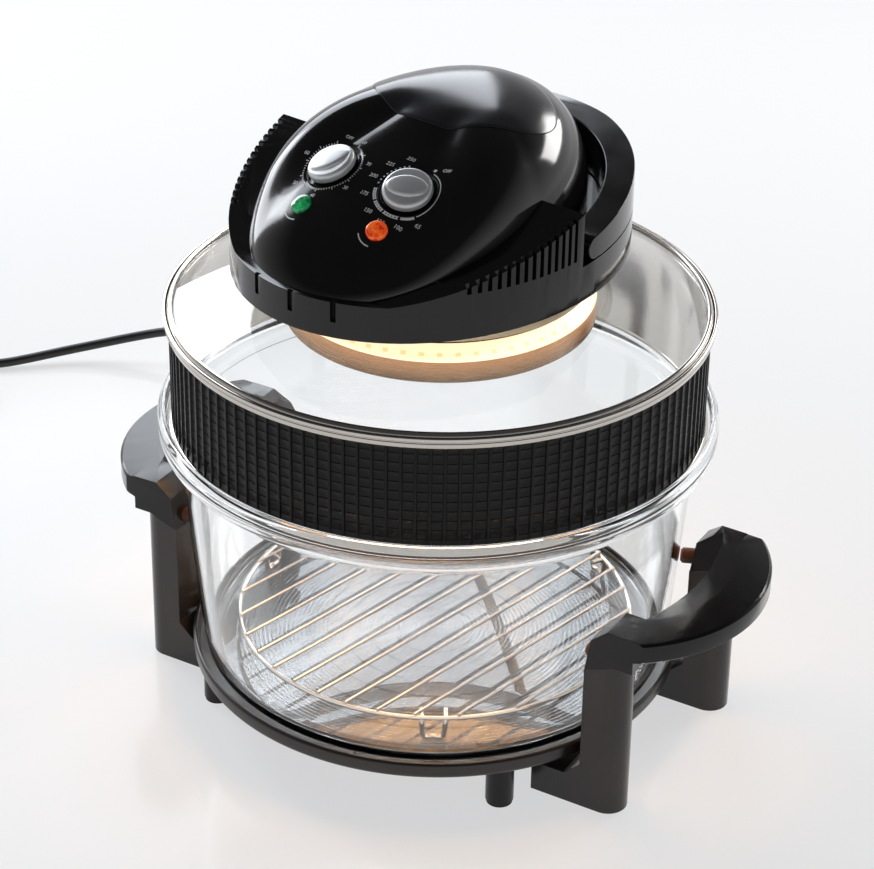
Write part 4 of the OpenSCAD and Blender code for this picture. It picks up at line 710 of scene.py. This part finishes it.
def hood_height(x, y):
    """Height at any x, y. The ray from the crown meets the outline k times as far out, where
    vv k^2 + 2 uv k + u^2 = 1."""
    u = (crown_y + hood_shift) / hood_b
    vx, vy = x / hood_a, (y - crown_y) / hood_b
    vv, uv = np.maximum(vx**2 + vy**2, 1e-9), u * vy
    k = (-uv + np.sqrt(uv**2 - vv * (u**2 - 1))) / vv
    return hood_rise(1 / k, crown_y + (y - crown_y) * k)


def hood_frame(x, y):
    """Point and the three directions of a flat spot on the hood: two along the surface and its normal."""
    n = unit(np.array([hood_height(x - 1, y) - hood_height(x + 1, y),
                       hood_height(x, y - 1) - hood_height(x, y + 1), 2]))
    turn = np.array([-n[1], n[0], 0]) / np.hypot(n[0], n[1])
    rotation = np.array(Matrix.Rotation(np.arccos(n[2]), 3, turn.tolist()))
    return np.array([x, y, hood_height(x, y)]), rotation


def hood_sheet(rows, columns, inset):
    """The hood's surface as a grid: crown + s (edge - crown), with the rows close together near the edge."""
    s = 1 - (1 - np.linspace(0, 1, rows)[:, None]) ** 1.7
    a = (np.arange(columns) / columns * TURN)[None, :]
    edge_x, edge_y = (hood_a - inset) * np.cos(a), -hood_shift + (hood_b - inset) * np.sin(a)
    y = crown_y + s * (edge_y - crown_y)
    return np.stack([s * edge_x, y, hood_rise(s, np.broadcast_to(edge_y, y.shape), inset)], -1)


hood_rows, inner_rows, hood_columns = 150, 24, 420
hood_outside = hood_sheet(hood_rows, hood_columns, 0.0)
for x, y in dials:
    centre, rotation = hood_frame(x, y)
    local = (hood_outside - centre) @ rotation
    sunk = dish_depth * smooth_step((dish_r - np.hypot(local[..., 0], local[..., 1])) / dish_wall)
    hood_outside = hood_outside - sunk[..., None] * rotation[:, 2]
hood_inside = hood_sheet(inner_rows, hood_columns, hood_t)[::-1]
hood_faces = grid_faces(hood_rows + inner_rows, hood_columns, wrap_columns=True)
piece("hood_moulding", on_head(np.concatenate([hood_outside, hood_inside])), hood_faces, "lid",
      "black_plastic", gloss_black, ["control_hood"], 60)


# The shield on the crown: a thin oval of clear smoked plastic, moulded to follow the hood
# and bonded to it all round.

shield_glass = Finish("smoked_shield", {"Specular IOR Level": 0.45})
shield_cloud = shield_glass.noise(30, 2.0)
shield_glass.set({"Base Color": shield_glass.mix(shield_cloud, (0.009, 0.009, 0.011), (0.02, 0.02, 0.024)),
                  "Roughness": shield_cloud * 0.05 + 0.15})
shield_a, shield_b, shield_y0, shield_lift, edge_t, edge_s = 58, 42, 28, 0.36, 0.5, 0.94
shield_s = np.concatenate([np.linspace(0, edge_s, 30), [0.96, 0.975, 0.987, 0.995, 1.0]])[:, None]
shield_u = (np.arange(120) / 120 * TURN)[None, :]
shield_x = shield_a * shield_s * np.cos(shield_u)
shield_y = shield_y0 + shield_b * shield_s * np.sin(shield_u)
past_edge = np.clip((shield_s - edge_s) / (1 - edge_s), 0, 1)
shield_up = shield_lift + edge_t * np.sqrt(1 - past_edge**2)


def crown_terms(x, y):
    """Terms of a smooth crown: products of powers of (x/60)^2 and (y-28)/50."""
    u, v = (x / 60) ** 2, (y - shield_y0) / 50
    return np.stack([u**i * v**j for i in range(4) for j in range(5) if i + j < 6], -1)


shield_base = hood_height(shield_x, shield_y)
terms = crown_terms(shield_x, shield_y)
fit = np.linalg.lstsq(terms.reshape(shield_base.size, -1), shield_base.ravel(), rcond=None)[0]
smooth_base = terms @ fit
smooth_base += np.clip((shield_base - smooth_base).max(), 0, 0.5)
hugging = smooth_step((shield_s - 0.6) / 0.4)
shield_z = smooth_base * (1 - hugging) + shield_base * hugging + shield_up
shield_top = np.stack([shield_x, shield_y, shield_z], -1)
shield_under = np.stack([shield_x, shield_y, shield_base + 0.3], -1)[::-1]
shield_points = np.concatenate([shield_top, shield_under])
piece("shield_patch", on_head(shield_points), grid_faces(*shield_points.shape[:2], wrap_columns=True), "lid",
      "smoked_shield", shield_glass, ["hood_lens"], 50)


# The dials: silver caps in shallow round dishes, each with a lens-shaped grip across its face,
# and white pad-printed scales on the hood around them.

silver = machined("knob_silver", (0.74, 0.755, 0.76), 0.42, scale=500, spread=0.08).set({"Metallic": 0.55})
knob_r, grip_a, grip_b = 14.2, 13.0, 7.6
cap = turned(rounded([
    [0, -1.2, 0], [13.0, -1.2, 0.6], [knob_r, -0.4, 0.6], [knob_r, 3.0, 2.0], [12.8, 4.6, 1.6],
    [0, 4.8, 0]], closed=False, steps=7), 96, closed=False)
lens_out, lens_up = rounded([
    [0, 4.2, 0], [1, 4.2, 0.02], [0.97, 5.3, 0.3], [0.8, 6.3, 0.25], [0, 6.7, 0]], closed=False, steps=7).T
u = (np.arange(96) / 96 * TURN)[:, None]
grip_x = grip_a * lens_out * np.cos(u)
grip_y = grip_b * lens_out * np.sin(u) * np.sqrt(np.abs(np.sin(u)) * 0.3 + 0.7)
grip_z = lens_up - (lens_up > 5) * 0.006 * grip_x**2
grip = np.stack([grip_x, grip_y, grip_z], -1), grid_faces(96, len(lens_up), wrap_rows=True)
cap_points, cap_faces = joined([cap, grip])
for (x, y), grip_turn, name in zip(dials, (44, 24), ("timer", "thermostat")):
    centre, rotation = hood_frame(x, y)
    turn = np.array(Matrix.Rotation(np.radians(grip_turn), 3, "Z"))
    piece(f"{name}_cap", on_head(centre + cap_points @ (rotation @ turn).T), cap_faces, f"{name}_dial",
          "knob_silver", silver, [f"{name}_knob"], 35)

ink = Finish("white_print", {})
ink_wear = ink.noise(1800, 4.0)
ink.set({"Base Color": ink.mix(ink_wear, (0.68, 0.68, 0.68), (0.86, 0.86, 0.86)),
         "Roughness": ink_wear * 0.2 + 0.35})


def printed(flat, faces, dial):
    """Lays a flat shape round a dial on to the hood: out along the dial's own plane, then down to the hood.
    The shape becomes a thin wafer, its lower side just under the surface."""
    centre, rotation = hood_frame(*dial)
    x, y, _ = (centre + flat @ rotation[:, :2].T).T
    base = np.stack([x, y, hood_height(x, y)], -1)
    top, under = base + 0.16 * rotation[:, 2], base - 0.12 * rotation[:, 2]
    edges = np.stack([faces, np.roll(faces, -1, 1)], -1).transpose(1, 0, 2).reshape(-1, 2)
    _, where, count = np.unique(np.sort(edges, 1), axis=0, return_index=True, return_counts=True)
    a, b = edges[where[count == 1]].T
    walls = np.stack([a, b, b + len(flat), a + len(flat)], -1)
    caps = np.concatenate([faces, faces[:, ::-1] + len(flat)])
    caps = np.concatenate([caps, caps[:, -1:]], 1) if caps.shape[1] == 3 else caps
    return np.concatenate([top, under]), np.concatenate([caps, walls])


def arc_bar(radius, width, start, end, steps=None):
    """A flat bar bent round the dial's centre, from one angle to another in degrees."""
    steps = steps or max(2, int(abs(end - start) / 4) + 1)
    a = np.radians(np.linspace(start, end, steps))[:, None]
    r = np.array([[radius - width / 2, radius + width / 2]])
    return polar(r, a, 0.0)[..., :2].reshape(-1, 2), grid_faces(steps, 2)


def tick(angle, inner, outer, width):
    """A short bar that points away from the dial's centre."""
    half = np.degrees(width / 2 / ((inner + outer) / 2))
    return arc_bar((inner + outer) / 2, outer - inner, angle - half, angle + half, 2)


def lettered(text, size, angle, radius):
    """A number in the built-in typeface as flat triangles, centred at an angle and radius from the dial."""
    curve = bpy.data.curves.new("number", "FONT")
    curve.body, curve.size, curve.resolution_u = text, size, 3
    curve.align_x = curve.align_y = "CENTER"
    holder = added("number", curve)
    mesh = bpy.data.meshes.new_from_object(holder.evaluated_get(bpy.context.evaluated_depsgraph_get()))
    mesh.calc_loop_triangles()
    points = np.empty(len(mesh.vertices) * 3)
    mesh.vertices.foreach_get("co", points)
    faces = np.empty(len(mesh.loop_triangles) * 3, int)
    mesh.loop_triangles.foreach_get("vertices", faces)
    bpy.data.objects.remove(holder)
    bpy.data.curves.remove(curve)
    bpy.data.meshes.remove(mesh)
    return points.reshape(-1, 3)[:, :2] + radius * heading(angle)[:2], faces.reshape(-1, 3)


def print_group(name, shapes, dial):
    """Prints several flat shapes round one dial as one piece."""
    points, faces = joined([printed(flat, faces, dial) for flat, faces in shapes])
    return piece(name, on_head(points), faces, "lid", None, ink, sharp=30)


timer_start, timer_step = 70, 5.2
timer_marks = [tick(timer_start - timer_step * i, 17.9, 18.8 if i % 6 else 20.0, 0.5) for i in range(61)]
timer_marks += [lettered(str(10 * (i + 1)), 3.3, timer_start - 10 * timer_step * i, 23.0) for i in range(6)]
timer_marks.append(lettered("OFF", 3.0, 100, 23.2))
print_group("timer_scale", timer_marks, dials[0])
heat_marks = [arc_bar(18.1, 0.55, 74, -38, 40), arc_bar(18.5, 1.5, -42, -66, 10)]
for start, end in ((-70, -100), (-103, -130), (-133, -160)):
    heat_marks += [arc_bar(19.1, 0.5, start, end, 12), arc_bar(17.7, 0.5, start, end, 12)]
    heat_marks += [tick(start + (end - start) * (i + 0.5) / 5, 17.5, 19.3, 1.1) for i in range(5)]
heat_marks += [tick(angle, 17.9, 18.9, 0.9) for angle in range(188, 118, -8)]
heat_numbers = {65: -40, 100: -66, 125: -92, 150: -118, 175: -150, 200: 178, 225: 150, 250: 122}
heat_marks += [lettered(str(degrees), 3.6, angle, 24.2) for degrees, angle in heat_numbers.items()]
heat_marks += [lettered("OFF", 3.2, 62, 24.0), tick(78, 19.4, 21.2, 1.7)]
print_group("heat_scale", heat_marks, dials[1])


# The two signal lamps: faceted lenses pressed into the hood, green on the left, orange-red on the right,
# each with a short white arc printed under it.

dome = turned(rounded([
    [0, -1.5, 0], [6.1, -1.5, 0.3], [6.2, 1.2, 0.5], [5.5, 2.3, 0.7], [3.4, 2.8, 1.2], [0, 2.8, 0]],
    closed=False), 64, closed=False)
for spot, name, slot, deep, bright in (
        (lamps[0], "power", "green_lens", (0.0, 0.07, 0.03), (0.01, 0.42, 0.11)),
        (lamps[1], "heat", "orange_lens", (0.55, 0.01, 0.002), (1.0, 0.16, 0.01))):
    lens = Finish(slot, {"Roughness": 0.08, "Coat Weight": 0.6, "Emission Strength": 0.45})
    cells = lens.node("TexVoronoi", {"feature": "F1"}, {"Vector": lens.place, "Scale": 380.0}, "Color")
    facet = lens.node("SeparateColor", {}, {0: cells})
    tint = lens.mix(facet, deep, bright)
    lens.set({"Base Color": tint, "Emission Color": tint}).bump(facet, 0.0004)
    centre, rotation = hood_frame(*spot)
    piece(f"{name}_jewel", on_head(centre + dome[0] @ rotation.T), dome[1], "lid", slot, lens,
          [f"{name}_lens"], 40)
    print_group(f"{name}_arc", [arc_bar(10.2, 0.7, -145, -82, 24)], spot)
dress(Finish("bulb_glass", {"Base Color": (0.9, 0.7, 0.5), "Roughness": 0.1}), "lamp_bulbs")


# The carry handle: a black gloss bail round the back of the head on two pins, with soft edges.
# A switch button stands up under it when it swings away.

softened("carry_handle", "bail_moulding", 2.6, gloss_black, "handle", 4)
dress(machined("pin_steel", (0.6, 0.6, 0.62), 0.28), "handle_pins")
dress(moulded("switch_black", (0.03, 0.03, 0.032), 0.45), "safety_switch")
dress(moulded("switch_button", (0.7, 0.66, 0.58), 0.4), "switch_plunger")


# Inside the head: a small shaded-pole motor on brackets, its shaft with a cooling fan above and a steel fan
# below, the timer and thermostat under the dials, and the terminal block of the mains lead.


def layered(name, sockets, scale, dark, pale, depth):
    """Metal in layers one over the other: a wave along Z in its colour and in its surface."""
    finish = Finish(name, sockets)
    wave = finish.node("TexWave", {"bands_direction": "Z"}, {"Vector": finish.place, "Scale": scale})
    return finish.set({"Base Color": finish.mix(wave, dark, pale)}).bump(wave, depth)


laminated = layered("lamination_steel", {"Metallic": 1.0, "Roughness": 0.45}, 300.0,
                    (0.2, 0.2, 0.22), (0.42, 0.43, 0.45), 0.0001)
winding = layered("copper_wire", {"Metallic": 0.9, "Roughness": 0.35}, 420.0,
                  (0.4, 0.14, 0.05), (0.8, 0.38, 0.16), 0.0002)
dress(laminated, "motor_core")
dress(winding, "motor_coil")
dress(machined("zinc_bracket", (0.66, 0.67, 0.7), 0.36), "motor_brackets")
dress(machined("shaft_steel", (0.62, 0.62, 0.64), 0.24), "motor_shaft", "timer_spindle", "thermostat_spindle")
dress(moulded("fan_plastic", (0.04, 0.04, 0.045), 0.4), "cooling_fan")
dress(machined("aluminium_sheet", (0.8, 0.8, 0.8), 0.3), "hot_fan")
dress(machined("brass_nut", (0.75, 0.6, 0.32), 0.3), "fan_nut")
dress(moulded("unit_case", (0.6, 0.57, 0.5), 0.5), "timer_unit", "thermostat_unit")
dress(moulded("terminal_nylon", (0.75, 0.72, 0.64), 0.5), "terminal_block")
